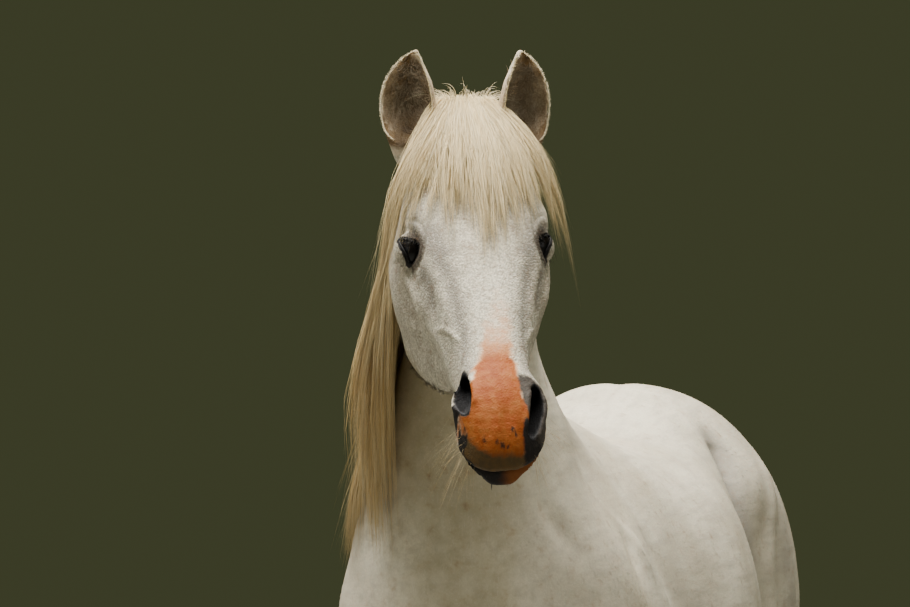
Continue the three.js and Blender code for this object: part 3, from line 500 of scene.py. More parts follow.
# The rings are fused into one skin by small cubes. Space is drawn together away from the head while that is
# done, so that the cubes are finest on the face and ears.
FINEST = 0.0025
FINE_REACH, FAR_SHARE, EASE = 0.40, 0.30, 0.25
fine_centre = placed(from_head([0, 250, -80]))
radii = np.linspace(0, 3, 3000)
beyond = np.maximum(radii - FINE_REACH, 0)
drawn_in = (np.minimum(radii, FINE_REACH) + beyond * FAR_SHARE
            + (1 - FAR_SHARE) * EASE * (1 - np.exp(-beyond / EASE)))


def rescaled(points, source, target):
    away = points - fine_centre
    r = np.linalg.norm(away, axis=1, keepdims=True)
    return fine_centre + away * np.interp(r, source, target) / np.maximum(r, 1e-9)


def points_of(mesh):
    co = np.empty(len(mesh.vertices) * 3)
    mesh.vertices.foreach_get("co", co)
    return co.reshape(-1, 3)


def place_points(mesh, points):
    mesh.vertices.foreach_set("co", np.ascontiguousarray(points, float).ravel())
    mesh.update()


def edges_of(mesh):
    pairs = np.empty(len(mesh.edges) * 2, int)
    mesh.edges.foreach_get("vertices", pairs)
    return pairs.reshape(-1, 2)


def normals_of(mesh):
    n = np.empty(len(mesh.vertices) * 3)
    mesh.vertex_normals.foreach_get("vector", n)
    return n.reshape(-1, 3)


def relaxed(points, pairs, share, rounds):
    """Points moved towards their neighbours' middle, each by its own share."""
    a, b = pairs.T
    degree = np.maximum(np.bincount(pairs.ravel(), minlength=len(points)), 1)
    for _ in range(rounds):
        around = np.stack([np.bincount(a, points[b, k], len(points))
                           + np.bincount(b, points[a, k], len(points))
                           for k in range(3)], 1)
        points = points + share[:, None] * (around / degree[:, None] - points)
    return points


place_points(hide.data, rescaled(points_of(hide.data), radii, drawn_in))
settled(hide, ("REMESH", {"mode": "VOXEL", "voxel_size": FINEST * 1,
                          "adaptivity": 0}))
place_points(hide.data, rescaled(points_of(hide.data), drawn_in, radii))

# Where legs run into the trunk and the head into the neck, the skin is drawn smooth.
pairs = edges_of(hide.data)
skin = drawn(points_of(hide.data))
x, y, z = skin.T
local = to_head(skin)
on_head = smooth(local[:, 1], -20, 60) * smooth(z, 1330, 1420)
elbow = smooth(z, 800, 880) * smooth(-z, -1190, -1090) * smooth(-y, 330, 420) * smooth(np.abs(x), 30, 70)
thigh = smooth(z, 860, 940) * smooth(-z, -1330, -1230) * smooth(y, 300, 400) * smooth(np.abs(x), 40, 90)
throat = (smooth(local[:, 1], -80, -30) * smooth(-local[:, 1], -90, -20) * smooth(-local[:, 2], 20, 80)
          * smooth(z, 1500, 1600))
joining = np.maximum(np.maximum(elbow, thigh), throat * 0.6)
skin = relaxed(skin, pairs, 0.5 * joining, 70)
skin = relaxed(skin, pairs, 0.5 * (1 - on_head), 6)
skin = relaxed(skin, pairs, np.full(len(skin), 0.5), 2)


def distance_to(points, path):
    """The distance of each point to a line through path, and how far along it that is, 0 to 1."""
    path = np.asarray(path, float)
    best, where = np.full(len(points), 1e9), np.zeros(len(points))
    for k in range(len(path) - 1):
        step = path[k + 1] - path[k]
        s = np.clip(((points - path[k]) @ step) / (step @ step), 0, 1)
        d = np.linalg.norm(points - path[k] - s[:, None] * step, axis=1)
        nearer = d < best
        best[nearer], where[nearer] = d[nearer], (k + s[nearer]) / (len(path) - 1)
    return best, where


def both_sides(p):
    """Points folded onto the left side."""
    return np.column_stack([np.abs(p[:, 0]), p[:, 1:]])


def seen_from_eye(local):
    """Points of the head as seen from the eye on their side: along its lids, across them and out of it."""
    away = both_sides(local) - np.where(local[:, :1] >= 0, EYE_AT[1], EYE_AT[-1])
    return np.column_stack([away @ LID_ALONG, away @ LID_ACROSS, away @ EYE_LOOKS])


# Head: ridges and grooves along lines x, u, v, with reach and height in mm.
FACE_LINES = [
    ([(88, 212, -90), (84, 262, -84), (77, 294, -102), (68, 316, -128)], 8, 4.2),  # facial crest
    ([(96, 236, -108), (86, 276, -126), (74, 296, -158)], 11, -3.5),
    ([(68, 338, -85), (58, 362, -62), (52, 382, -50), (46, 402, -44)], 3.6, 2.6),  # vein below it
    ([(58, 362, -62), (58, 352, -46), (56, 330, -34)], 3.6, 2.0),
    # dip beside the nasal bones
    ([(60, 276, -18), (50, 332, -26), (45, 375, -32), (41, 420, -42)], 11, -2.6),
    ([(82, 268, -52), (74, 296, -56), (64, 330, -66)], 12, -2.8),
    ([(86, 250, -150), (80, 290, -140), (70, 330, -128), (60, 372, -120)], 5, 1.4),  # facial vein
    ([(60, 372, -120), (55, 410, -112), (50, 450, -100)], 5, 1.0),
    ([(26, 120, 12), (30, 200, 8), (26, 300, 0), (20, 400, -12), (18, 450, -16)], 12, 1.6),  # nasal bones
    ([(0, 60, 12), (0, 200, 14), (0, 330, 0), (0, 440, -16)], 9, -1.0),
    ([(58, 150, -14), (76, 172, -24), (84, 196, -28)], 9, 3.2),  # bony rim over the eye
    ([(60, 128, -30), (72, 150, -44)], 13, -3.5),  # hollow above the eye
    ([(88, 236, -66), (84, 250, -72), (76, 262, -68)], 4, -1.2),  # folds under the eye
    ([(84, 240, -58), (78, 250, -60)], 3.5, -1.0),
    ([(50, 470, -96), (49, 488, -104), (47, 505, -107)], 6, -1.6),  # fold behind the corner of the mouth
    ([(60, 470, -60), (57, 490, -66), (56, 505, -72)], 9, -2.2),  # dip behind the nostril
    ([(10, 560, -40), (14, 580, -56), (16, 594, -78)], 8, 1.2),
    ([(0, 540, -30), (0, 572, -46), (0, 594, -74)], 6, -1.6),  # groove of the upper lip
    ([(64, 190, -248), (61, 245, -238), (56, 295, -217), (50, 340, -196)], 28, 13),  # edge of the jaw
    ([(92, 120, -120), (93, 170, -150), (88, 210, -200)], 14, 1.6),
]


def nostril_edge(local):
    """How far points of the head lie outside the nostril, in mm, and how far down along it."""
    edge, where = np.zeros(len(local)), np.zeros(len(local))
    for side, rows in NOSTRILS.items():
        here = local[:, 0] * side >= 0
        line = along(rows, rows_of(rows, 4))
        flat = lambda p: p - (p @ NOSTRIL_OPENS)[:, None] * NOSTRIL_OPENS
        near = both_sides(local[here])
        d, down = distance_to(flat(near), flat(line[:, :3]))
        d = np.maximum(d, np.abs((near - line[len(line) // 2, :3]) @ NOSTRIL_OPENS) - 26)
        edge[here], where[here] = d - np.interp(down, np.linspace(0, 1, len(line)), line[:, 3]), down
    return edge, where


def mouth_distance(local):
    """The distance to the line between the lips, in mm, seen along the sides of the head."""
    level = np.column_stack([np.zeros(len(local)), local[:, 1], local[:, 2] - LIP_TILT * local[:, 0]])
    d, _ = distance_to(level, np.insert(MOUTH_LINE, 0, 0, axis=1))
    return d


local = to_head(skin)
folded = both_sides(local)
face = smooth(local[:, 1], -60, 0) * smooth(z, 1380, 1440)
raised = np.zeros(len(skin))
for path, reach, mm in FACE_LINES:
    d, where = distance_to(folded, path)
    raised += mm * bell(d / reach) * smooth(np.sin(np.pi * np.clip(where, 0, 1)) + 0.35, 0, 0.8)
edge, down = nostril_edge(local)
rim = smooth(down, 0, 0.2) * smooth(1 - down, 0, 0.15)
raised += 2.2 * bell((edge - 4.5) / 3.5) * rim
lips = mouth_distance(local)
in_front = smooth(local[:, 1], 505, 530)
raised += in_front * (2.0 * bell((lips - 9) / 6) - 1.6 * bell(lips / 4))
under_lip = (smooth(MOUTH_LINE[2, 1] - local[:, 2] + LIP_TILT * local[:, 0], 2, 12)
             * smooth(local[:, 1], 530, 556))
raised -= 8 * under_lip * smooth(np.abs(local[:, 0]), 10, 36)
a, b, out = seen_from_eye(local).T
ring = np.hypot((a + 1) / (LID_LENGTH / 2 + 4), (b - 7) / 21)
by_eye = smooth(out, 0, 12)
raised += by_eye * (1.0 * bell((ring - 1.2) / 0.14) - 1.3 * bell((ring - 1.45) / 0.12) * smooth(b, -4, 14))
raised += by_eye * (-0.5 * bell((ring - 1.5) / 0.08) * smooth(-b, -2, 8)
                    - 0.5 * bell((ring - 1.8) / 0.09) * smooth(a, -8, 10))

# Body: places x, y, z with reach and height in mm, and lines, mirrored to both sides.
BODY_PLACES = [
    ((0, -770, 1170), (20, 60, 90), -9), ((62, -760, 1160), (40, 50, 70), 6),  # breast, parted in the middle
    ((150, -640, 1130), (50, 60, 70), 7), ((185, -470, 1130), (50, 80, 70), 6),
    ((190, -560, 1250), (60, 50, 90), -4), ((170, -420, 1390), (50, 34, 110), -4),
    ((200, -330, 1080), (60, 40, 90), -7), ((212, 400, 1370), (50, 60, 50), 6),
    ((210, 240, 1180), (60, 60, 90), -7), ((230, 560, 1180), (60, 90, 90), 6),
    ((190, 690, 1230), (50, 34, 120), -6), ((0, 520, 1500), (14, 160, 30), -4),
    ((130, 590, 760), (60, 40, 60), 4), ((150, 470, 1000), (60, 50, 50), 6),
    ((130, -522, 463), (60, 60, 22), 1.5), ((150, -560, 800), (40, 40, 70), 4),
]
BODY_LINES = [
    ([(80, -790, 1600), (100, -770, 1480), (118, -735, 1360), (135, -690, 1260)], 16, -6),  # jugular groove
    ([(70, -760, 1700), (92, -700, 1580), (120, -620, 1470), (160, -560, 1380)], 30, 4),
    ([(150, -640, 1120), (195, -560, 1290), (170, -470, 1430), (120, -400, 1490)], 18, -3.5),
    # front of the shoulder
    ([(120, -640, 1480), (165, -600, 1390), (188, -520, 1310), (192, -470, 1200)], 15, 4),
    # behind the shoulder
    ([(196, -440, 1330), (206, -410, 1230), (205, -380, 1130), (190, -380, 1050)], 22, -7),
    # hip to stifle
    ([(200, 500, 1385), (218, 470, 1350), (230, 426, 1301), (231, 405, 1241), (228, 420, 1100)], 26, 7),
    ([(158, 346, 1424), (178, 312, 1390), (204, 285, 1345), (222, 278, 1290), (228, 285, 1220),
      (215, 300, 1100)], 26, -10),
    ([(150, 330, 1420), (176, 310, 1360)], 26, -6),  # hollow in front of the hip
    ([(196, 520, 1390), (228, 545, 1280), (240, 560, 1160)], 20, -4.5),
    ([(205, 640, 1330), (222, 660, 1180), (212, 640, 1050), (185, 590, 930)], 16, -4.5),
    ([(150, -540, 720), (152, -530, 620), (148, -525, 540)], 9, -2),
    ([(152, -515, 400), (152, -514, 320), (154, -514, 255)], 6, -2.6),  # between cannon bone and tendons
    ([(108, -515, 400), (108, -514, 320), (106, -514, 255)], 6, -2.6),
    ([(158, 700, 430), (158, 702, 340), (160, 702, 270)], 6, -2.6),
    ([(114, 700, 430), (114, 702, 340), (112, 702, 270)], 6, -2.6),
    ([(160, 640, 760), (160, 690, 690), (155, 730, 640)], 12, -3.5),
    ([(136, 760, 600), (136, 755, 660), (140, 730, 740)], 10, 3.5),  # tendon above the hock
]
mirror = both_sides(skin)
for place, reach, mm in BODY_PLACES:
    raised += mm * bell(np.linalg.norm((mirror - place) / np.array(reach), axis=1)) * (1 - face)
for path, reach, mm in BODY_LINES:
    d, where = distance_to(mirror, path)
    raised += mm * bell(d / reach) * smooth(np.sin(np.pi * where) + 0.4, 0, 0.9) * (1 - face)
ribs = smooth(y, -260, -160) * smooth(-y, -260, -130) * smooth(z, 900, 980) * smooth(-z, -1330, -1240)
raised += (0.5 * ribs * np.sin((y + 0.3 * (z - 1100) + 9 * np.sin(z / 90)) / 66 * 2 * np.pi)
           * smooth(np.sin(y / 130 + z / 170), -0.9, 0.9))
ripple = np.sin(x / 31 + z / 47) * np.sin(y / 39 - z / 58) + 0.6 * np.sin(x / 17 - y / 21 + z / 15)
raised += 0.5 * ripple * (1 - 0.6 * face)

# the lower neck bends a little to the right
to_skull = to_head(skin)
held = smooth(to_skull[:, 1], -150, 0) * smooth(to_skull[:, 2], -420, -300)
skin[:, 0] -= (NECK_LEAN * smooth(-y, 470, 620) * smooth(z, 1240, 1400) * smooth(-z, -1680, -1560)
               * (1 - held))
place_points(hide.data, placed(skin))
skin += normals_of(hide.data) * raised[:, None]
skin = relaxed(skin, pairs, np.full(len(skin), 0.4), 1)
place_points(hide.data, placed(skin))
SKIN_TRIANGLES = 188000
settled(hide, ("DECIMATE", {"ratio": min(1, SKIN_TRIANGLES / (2 * len(hide.data.polygons)))}))
outward(hide)
hide.data.shade_smooth()

# Markings: how bare and dark, pink or brown the skin is at any place, and where shade is painted into hollows
# and folds and highlights onto ridges, for skin and hair alike.
# The pink mark runs down the nose: u, and x of its right and left edges there.
SNIP = np.array([
    [330, 4, 17], [381, -7, 19], [413, -15, 20], [437, -20, 19], [460, -25, 17], [478, -31, 19],
    [492, -35, 22],
    [517, -48, 24], [535, -52, 29], [550, -51, 34], [565, -43, 34], [577, -40, 32], [588, -36, 28],
    [600, -34, 24],
])
SNIP_STRENGTH = [[330, 0.08], [381, 0.22], [413, 0.34], [437, 0.46], [452, 0.62], [468, 0.86], [484, 1]]
# dark skin behind the eye's back corner
EYE_CORNER = np.array([[-17, -6, 16], [-23, -6, 12], [-29, -5, 6.0]])
# x, u, reach
SPOTS = [[-26, 574, 4.5], [-11, 580, 3.5], [-4, 583, 4.5], [4, 584, 3.5], [9, 567, 3.5], [13, 573, 3]]
# Lines x, u, v, how far grey shows around them, and how strongly: the darker skin under the hair, with
# painted shade on the side of the face.
GREYS = [
    ([(84, 206, -26), (68, 236, -13), (58, 270, -15)], 17, 0.8),
    ([(80, 269, -52), (74, 292, -50), (68, 306, -60)], 15, 0.75),
    ([(58, 281, -16), (49, 332, -23), (44, 372, -29), (40, 420, -38)], 13, 0.6),
    ([(97, 184, -68), (99, 190, -110)], 20, 0.5),
    ([(95, 227, -133), (86, 240, -190), (66, 310, -160), (52, 360, -130)], 28, 0.1),
    ([(46, 436, -42), (40, 470, -33)], 13, 0.7),
]
# The same for painted highlights, paler hair along the bones and veins where they catch the light.
PALE_HIGHLIGHTS = [
    ([(0, 40, 8), (4, 200, 8), (6, 330, -2), (10, 400, -10)], 15, 0.5),
    ([(84, 262, -84), (77, 294, -102), (68, 316, -128)], 7, 0.6),
    ([(68, 338, -85), (58, 362, -62), (52, 382, -50), (46, 402, -44)], 4, 0.7),
    ([(66, 345, -95), (58, 380, -84), (52, 430, -84)], 12, 0.4),
]
# Painted shade on the body: lines x, y, z along the crease in front of the hip and over the haunch, with
# reach and strength.
BODY_SHADE_LINES = [
    ([(158, 346, 1424), (166, 328, 1404), (178, 312, 1390)], 8, 0.8),
    ([(240, 500, 1250), (235, 520, 1050)], 70, 0.55),
    ([(166, 330, 1410), (196, 290, 1355), (225, 285, 1250), (228, 300, 1120)], 50, 0.9),
]


def lin(red, green, blue):
    """A colour given as it looks, 0 to 255, as a shader needs it."""
    v = np.array([red, green, blue]) / 255
    return tuple(np.where(v <= 0.04045, v / 12.92, ((v + 0.055) / 1.055) ** 2.4))


def markings(points):
    """Masks from 0 to 1 at points in the drawing's millimetres."""
    local = to_head(points)
    x, u, v = local.T
    head = smooth(u, -40, 20) * smooth(v, -315, -285) * smooth(points[:, 2], 1360, 1420)
    edge, _ = nostril_edge(local)
    lips = mouth_distance(local)
    below = smooth(u, 503, 515) * (v - LIP_TILT * x - np.interp(u, *MOUTH_LINE.T) < 0)

    wander = 2.2 * np.sin(u / 5.3 + 1) + 1.6 * np.sin(u / 2.4 + v / 5)
    right, left = (np.interp(u, SNIP[:, 0], SNIP[:, k]) for k in (1, 2))
    snip = (smooth(x - right + wander, -8, 6) * smooth(left - x + wander, -8, 6) * smooth(u, 320, 350)
            * (1 - below))
    snip *= smooth(edge, -1.5, 1) * np.interp(u, *np.transpose(SNIP_STRENGTH))
    lip_front = smooth(-v, 58, 76) * smooth(u, 540, 562) * (1 - below)

    nostril_side = smooth(-edge, -5, -0.5) * 0.6
    beside = smooth(x - left, -9, 2) * smooth(u, 462, 500) * smooth(-u, -574, -556) * 0.8
    patch = (smooth(x, 12, 28) * smooth(u, 542, 558)
             * (0.8 + 0.2 * bell(np.hypot((x - 27) / 10, (u - 568) / 12))))
    wing = smooth(-x, 38, 46) * smooth(u, 505, 514) * smooth(-u, -572, -560) * smooth(v, -96, -84)
    mouth_side = smooth(-lips, -15, -6) * smooth(u, 492, 515) * smooth(np.abs(x), 26, 38)
    a, b, out = seen_from_eye(local).T
    from_lids = np.full(len(points), 99.0)
    for side in SIDES.values():
        here = local[:, 0] * side >= 0
        ring = np.column_stack([lid_ring(side, 12), np.zeros(22)])
        flat = np.column_stack([a[here], b[here], np.zeros(here.sum())])
        from_lids[here] = distance_to(flat, np.vstack([ring, ring[:1]]))[0]
    eye_skin = smooth(-from_lids, -5.5, -1.5) * smooth(out, -4, 6)
    eye_shade = (smooth(-from_lids, -25, 0) * (0.35 + 0.65 * smooth(b + 0.4 * a, -4, 12))
                 * smooth(out, -14, -2))
    bare = np.maximum.reduce([nostril_side, beside, patch, wing, mouth_side, below * smooth(u, 520, 548),
                              eye_skin])
    bare *= 1 - 0.95 * snip * (1 - patch) * (1 - beside)
    folded = both_sides(local)
    grey, pale = (np.max([strong * bell(distance_to(folded, path)[0] / reach)
                          for path, reach, strong in lines], axis=0) for lines in (GREYS, PALE_HIGHLIGHTS))
    # Painted shade: the whole face a little darker than the body, and darker along the grey lines; paler
    # along the painted highlights.
    shaded = np.clip(0.24 + grey - pale, 0, 1) * head
    sides = both_sides(points)
    # painted shade on the body
    for path, reach, strong in BODY_SHADE_LINES:
        shaded = np.maximum(shaded, strong * bell(distance_to(sides, path)[0] / reach))
    # Painted shade down the front of the neck under the head, and yellowed hair with painted shade under the
    # jaw.
    underside_yellow_and_shade = smooth(-points[:, 1], 705, 790) * smooth(-points[:, 0], -130, -40) * (1 - head) * 0.8
    underside_yellow_and_shade = np.maximum(underside_yellow_and_shade, smooth(-v, 190, 240) * smooth(u, 120, 200) * head)

    behind, _ = distance_to(np.column_stack([a, b, out]), EYE_CORNER)
    # Painted shade: near black inside the nostrils and along the line between the lips, and dark skin behind
    # the eye's back corner.
    hollow_shade = np.maximum.reduce([smooth(-edge, -1.5, 1), smooth(-lips, -2.6, -1) * smooth(u, 500, 512),
                                smooth(-behind, -6, -3)])
    low_lip = below * smooth(x + 0.4 * (u - 575), -12, 22) * smooth(u, 548, 568) * smooth(lips, 1, 5)
    spots = np.max([bell(np.hypot(x - sx, u - su) / reach) for sx, su, reach in SPOTS], axis=0)
    cup = np.zeros(len(points))
    for side in SIDES.values():
        p = to_ear(points, side) / EAR_LENGTH
        half, deep = (np.interp(p[:, 2], EAR[:, 0], EAR[:, k]) for k in (1, 2))
        near = (p[:, 2] > 0.04) & (p[:, 2] < 0.985) & (np.abs(p[:, 0]) < 0.42) & (np.abs(p[:, 1]) < 0.32)
        h = -np.hypot(p[:, 0] / half, p[:, 1] / deep)
        front = 0.75 * smooth(p[:, 1] / deep, 0.0, 0.3) * smooth(p[:, 2], -0.12, 0.06)
        cup = np.maximum(cup, front * (p[:, 2] < 0.97) * (np.abs(p[:, 0]) < 0.42) * (np.abs(p[:, 1]) < 0.32))
        cup = np.maximum(cup, (0.55 * smooth(h, -1.1, -0.9) + 0.45 * smooth(h, -0.65, -0.1)) * near)
    legs = smooth(-points[:, 2], -640, -380)
    masks = {"bare": bare, "snip": snip, "hollow_shade": hollow_shade, "low_lip": low_lip, "spots": spots,
             "lip_front": lip_front,
             "beside": beside, "eye_shade": eye_shade}
    return {"cup": cup, "legs": legs, "underside_yellow_and_shade": underside_yellow_and_shade, "shaded": shaded, "head": head,
            **{key: value * head for key, value in masks.items()}}


def kept_marks(mesh, points):
    """Writes the markings to a mesh, one value for each vertex."""
    masks = markings(points)
    kept = {"marks": ("bare", "snip", "hollow_shade"), "more_marks": ("cup", "legs", "low_lip"),
            "lip_marks": ("spots", "lip_front", "beside"),
            "face_marks": ("shaded", "eye_shade", "underside_yellow_and_shade", "head")}
    for name, keys in kept.items():
        layer = mesh.attributes.new(name, "FLOAT_COLOR", "POINT")
        values = np.column_stack([masks[key] for key in keys] + [np.ones(len(points))] * (4 - len(keys)))
        layer.data.foreach_set("color", values.astype(np.float32).ravel())


class Shade:
    """A material's socket: sums written on it add Math nodes, and node() adds any other kind."""

    def __init__(self, tree, socket=None):
        self.tree, self.socket = tree, socket

    def node(self, kind, settings=None, values=None, output=0):
        added = self.tree.nodes.new("ShaderNode" + kind)
        for key, value in (settings or {}).items():
            setattr(added, key, value)
        for name, value in (values or {}).items():
            socket = added.inputs[name]
            if isinstance(value, Shade):
                self.tree.links.new(value.socket, socket)
            elif socket.type == "RGBA":
                socket.default_value = (*value, 1)
            else:
                socket.default_value = value
        return Shade(self.tree, added.outputs[output])

    def sum(self, operation, a, b):
        return self.node("Math", {"operation": operation}, {0: a, 1: b})

    def __add__(self, other):
        return self.sum("ADD", self, other)

    def __sub__(self, other):
        return self.sum("SUBTRACT", self, other)

    def __rsub__(self, other):
        return self.sum("SUBTRACT", other, self)

    def __mul__(self, other):
        return self.sum("MULTIPLY", self, other)

    def __pow__(self, other):
        return self.sum("POWER", self, other)

    __radd__, __rmul__ = __add__, __mul__

    def step(self, low, high):
        """0 below low, 1 above high and soft between."""
        return self.node("MapRange", {"interpolation_type": "SMOOTHSTEP"},
                         {0: self, 1: low, 2: high, 3: 0.0, 4: 1.0})

    def mixed(self, a, b):
        """Colour a where this is 0 and colour b where it is 1."""
        return self.node("Mix", {"data_type": "RGBA"}, {0: self, 6: a, 7: b}, 2)

    def kept(self, name):
        """The three values that a mesh keeps for each vertex under a name."""
        colour = self.node("Attribute", {"attribute_name": name}, output="Color")
        return [self.node("SeparateColor", values={0: colour}, output=k) for k in range(3)]

    def noise(self, at, scale, detail=2.0):
        return self.node("TexNoise", values={"Vector": at, "Scale": scale, "Detail": detail})

    def stretched(self, at, scale, turn=0.0, detail=4.0):
        """Noise drawn out along an axis that leans by turn."""
        placed_at = self.node("Mapping", values={"Vector": at, "Rotation": (turn, 0.0, 0.0), "Scale": scale})
        return self.noise(placed_at, 1.0, detail)


def material(name, **constants):
    """A new material, its surface shader, and a Shade to build on."""
    made_of = bpy.data.materials.new(name)
    made_of.use_nodes = True
    surface = made_of.node_tree.nodes["Principled BSDF"]
    for socket, value in constants.items():
        surface.inputs[socket.replace("_", " ")].default_value = value
    return made_of, surface, Shade(made_of.node_tree)


def feed(shade, surface, **sockets):
    for socket, value in sockets.items():
        shade.tree.links.new(value.socket, surface.inputs[socket.replace("_", " ")])


COAT = lin(232, 222, 196)
COAT_SHADE = lin(202, 191, 166)
COAT_WARM = lin(216, 199, 166)
FLECK = lin(112, 98, 82)
COAT_STREAK = lin(186, 176, 156)
COAT_YELLOWED_SHADE = lin(164, 150, 108)
COAT_GREY_AND_SHADE = lin(144, 137, 126)
STROKE_DARK = lin(154, 144, 126)
STROKE_PALE = lin(240, 234, 218)
EYE_SHADE = lin(66, 56, 46)
LIP_DARK = lin(84, 68, 44)
CUP_PALE = lin(168, 150, 124)
HOLLOW_SHADE_DARK = lin(10, 9, 9)
HOLLOW_SHADE_PALE = lin(40, 38, 38)
BARE_GREY = lin(80, 73, 65)
BARE_DARK = lin(36, 32, 29)
PINK = lin(220, 164, 118)
ORANGE = lin(154, 74, 20)
ORANGE_PALE = lin(180, 108, 50)
LIP_TAN = lin(100, 76, 44)
LIP_BROWN = lin(124, 72, 30)
CUP_EDGE = lin(224, 206, 178)
CUP_BROWN = lin(118, 94, 62)
CUP_DARK = lin(48, 36, 23)


def coat_colour(shade):
    """The coat's colour from its markings, with painted shade and highlights, alike on skin and tufts."""
    at = shade.node("TexCoord", output="Object")
    bare, snip, hollow_shade = shade.kept("marks")
    cup, legs, low_lip = shade.kept("more_marks")
    spots, lip_front, beside = shade.kept("lip_marks")
    shaded, eye_shade, underside_yellow_and_shade = shade.kept("face_marks")
    on_head = shade.node("Attribute", {"attribute_name": "face_marks"}, output="Alpha")
    patches, mottle = shade.noise(at, 8.0), shade.noise(at, 48.0)
    grain, wet = shade.noise(at, 420.0, 3.0), shade.noise(at, 110.0, 3.0)
    strokes = shade.stretched(at, (460.0, 100.0, 380.0), -0.83)
    streaks = shade.stretched(at, (60.0, 7.0, 60.0), 0.5)
    colour = (patches * 0.8 + (mottle - 0.5) * (on_head * 0.4 + 0.1)
              + 0.25).step(0.46, 0.86).mixed(COAT, COAT_SHADE)
    colour = (streaks.step(0.42, 0.7) * (1 - on_head) * 0.45).mixed(colour, COAT_STREAK)
    colour = (shade.noise(at, 4.0).step(0.52, 0.75) * 0.5 + legs * 0.35).mixed(colour, COAT_WARM)
    # yellowed hair and painted shade under the jaw and down the front of the neck
    colour = ((underside_yellow_and_shade + (mottle - 0.5) * 0.5).step(0.1, 1.0) * 0.7).mixed(colour, COAT_YELLOWED_SHADE)
    # the grey skin under the hair of the face, and painted shade on face and body
    colour = ((shaded + ((mottle - 0.5) * 0.9 + (wet - 0.5) * 0.7)
               * (on_head * 0.85 + 0.15)).step(0.05, 1.0) * 0.8).mixed(colour, COAT_GREY_AND_SHADE)
    fine = on_head * 0.5 + 0.12
    colour = ((strokes * 0.6 + shade.noise(at, 240.0) * 0.5).step(0.45, 0.66) * fine).mixed(colour,
                                                                                            STROKE_DARK)
    colour = ((1 - (strokes * 0.6 + grain * 0.5).step(0.36, 0.5)) * fine).mixed(colour, STROKE_PALE)
    colour = ((eye_shade + (strokes - 0.5) * 0.6).step(0.04, 0.8) * 0.92).mixed(colour, EYE_SHADE)
    specks = shade.node("TexVoronoi", values={"Vector": at, "Scale": 120.0, "Randomness": 1.0},
                        output="Distance")
    colour = ((1 - specks.step(0.12, 0.3)) * shade.noise(at, 18.0).step(0.54, 0.68)
              * (on_head * 0.4 + 0.15)).mixed(colour, FLECK)
    pink = (wet.step(0.35, 0.7) * 0.5 + mottle.step(0.4, 0.65) * 0.35
            + strokes.step(0.5, 0.8) * 0.15).mixed(ORANGE, ORANGE_PALE)
    pink = (snip + (mottle - 0.5) * 0.3).step(0.24, 0.84).mixed(PINK, pink)
    colour = (snip + (mottle - 0.5) * 0.45 + (wet - 0.5) * 0.45).step(0.02, 0.62).mixed(colour, pink)
    colour = (lip_front + (mottle - 0.5) * 0.7 + (wet - 0.5) * 0.7).step(0.05, 0.75).mixed(
        colour, wet.step(0.3, 0.7).mixed(LIP_TAN, LIP_DARK))
    grey = (wet * 0.8 + beside * 0.5 - 0.1).step(0.3, 0.8).mixed(BARE_DARK, BARE_GREY)
    colour = (bare + (mottle - 0.5) * 0.5 + (wet - 0.5) * 0.7).step(0.22, 0.7).mixed(colour, grey)
    colour = ((spots + (grain - 0.5) * 0.9).step(0.3, 0.9) * spots.step(0.1, 0.5) * 0.9).mixed(colour,
                                                                                               BARE_DARK)
    colour = (low_lip + (mottle - 0.5) * 0.5).step(0.2, 0.9).mixed(colour, LIP_BROWN)
    ear_hair = (cup + (grain - 0.5) * 0.35 + (mottle - 0.5) * 0.4).step(0.2, 0.75).mixed(CUP_EDGE, CUP_BROWN)
    ear_hair = (cup + (mottle - 0.5) * 0.5).step(0.72, 1.15).mixed(ear_hair, CUP_DARK)
    colour = cup.step(0.0, 0.12).mixed(colour, (strokes.step(0.55, 0.75) * 0.3).mixed(ear_hair, CUP_PALE))
    # painted shade in the nostrils and between the lips, and the dark skin at the eye's corner
    dark = (mottle * 0.5).mixed(HOLLOW_SHADE_DARK, HOLLOW_SHADE_PALE)
    return hollow_shade.mixed(colour, dark), bare, snip, at, grain, wet, strokes, streaks, on_head


hide_coat, surface, shade = material("short_coat", Specular_IOR_Level=0.16, Subsurface_Weight=0.04,
                                     Subsurface_Scale=0.004)
colour, bare, snip, at, grain, wet, strokes, streaks, on_head = coat_colour(shade)
skin_folds = shade.node("TexWave", {"wave_type": "BANDS", "bands_direction": "Z"},
                        {"Vector": at, "Scale": 24.0, "Distortion": 3.5, "Detail": 3.0, "Detail Scale": 1.6})
naked = (bare + snip).sum("MINIMUM", bare + snip, 1.0)
relief = ((strokes * 1.1 + grain * 0.6) * (on_head * 0.8 + 0.1) * (1 - naked * 0.65) + streaks * 0.5
          + naked * (skin_folds * 0.08 + wet * 0.4))
bumped = shade.node("Bump", values={"Strength": 0.55, "Distance": 0.003, "Height": relief})
feed(shade, surface, Base_Color=colour, Normal=bumped, Roughness=0.76 - naked * 0.16)

skin = drawn(points_of(hide.data))
kept_marks(hide.data, skin)
hide.data.materials.clear()
hide.data.materials.append(hide_coat)
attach(hide, "root")
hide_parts("head", "neck", "torso", "ear_left", "ear_right",
            *[f"leg_{end}_{side}" for end in LEGS for side in SIDES])


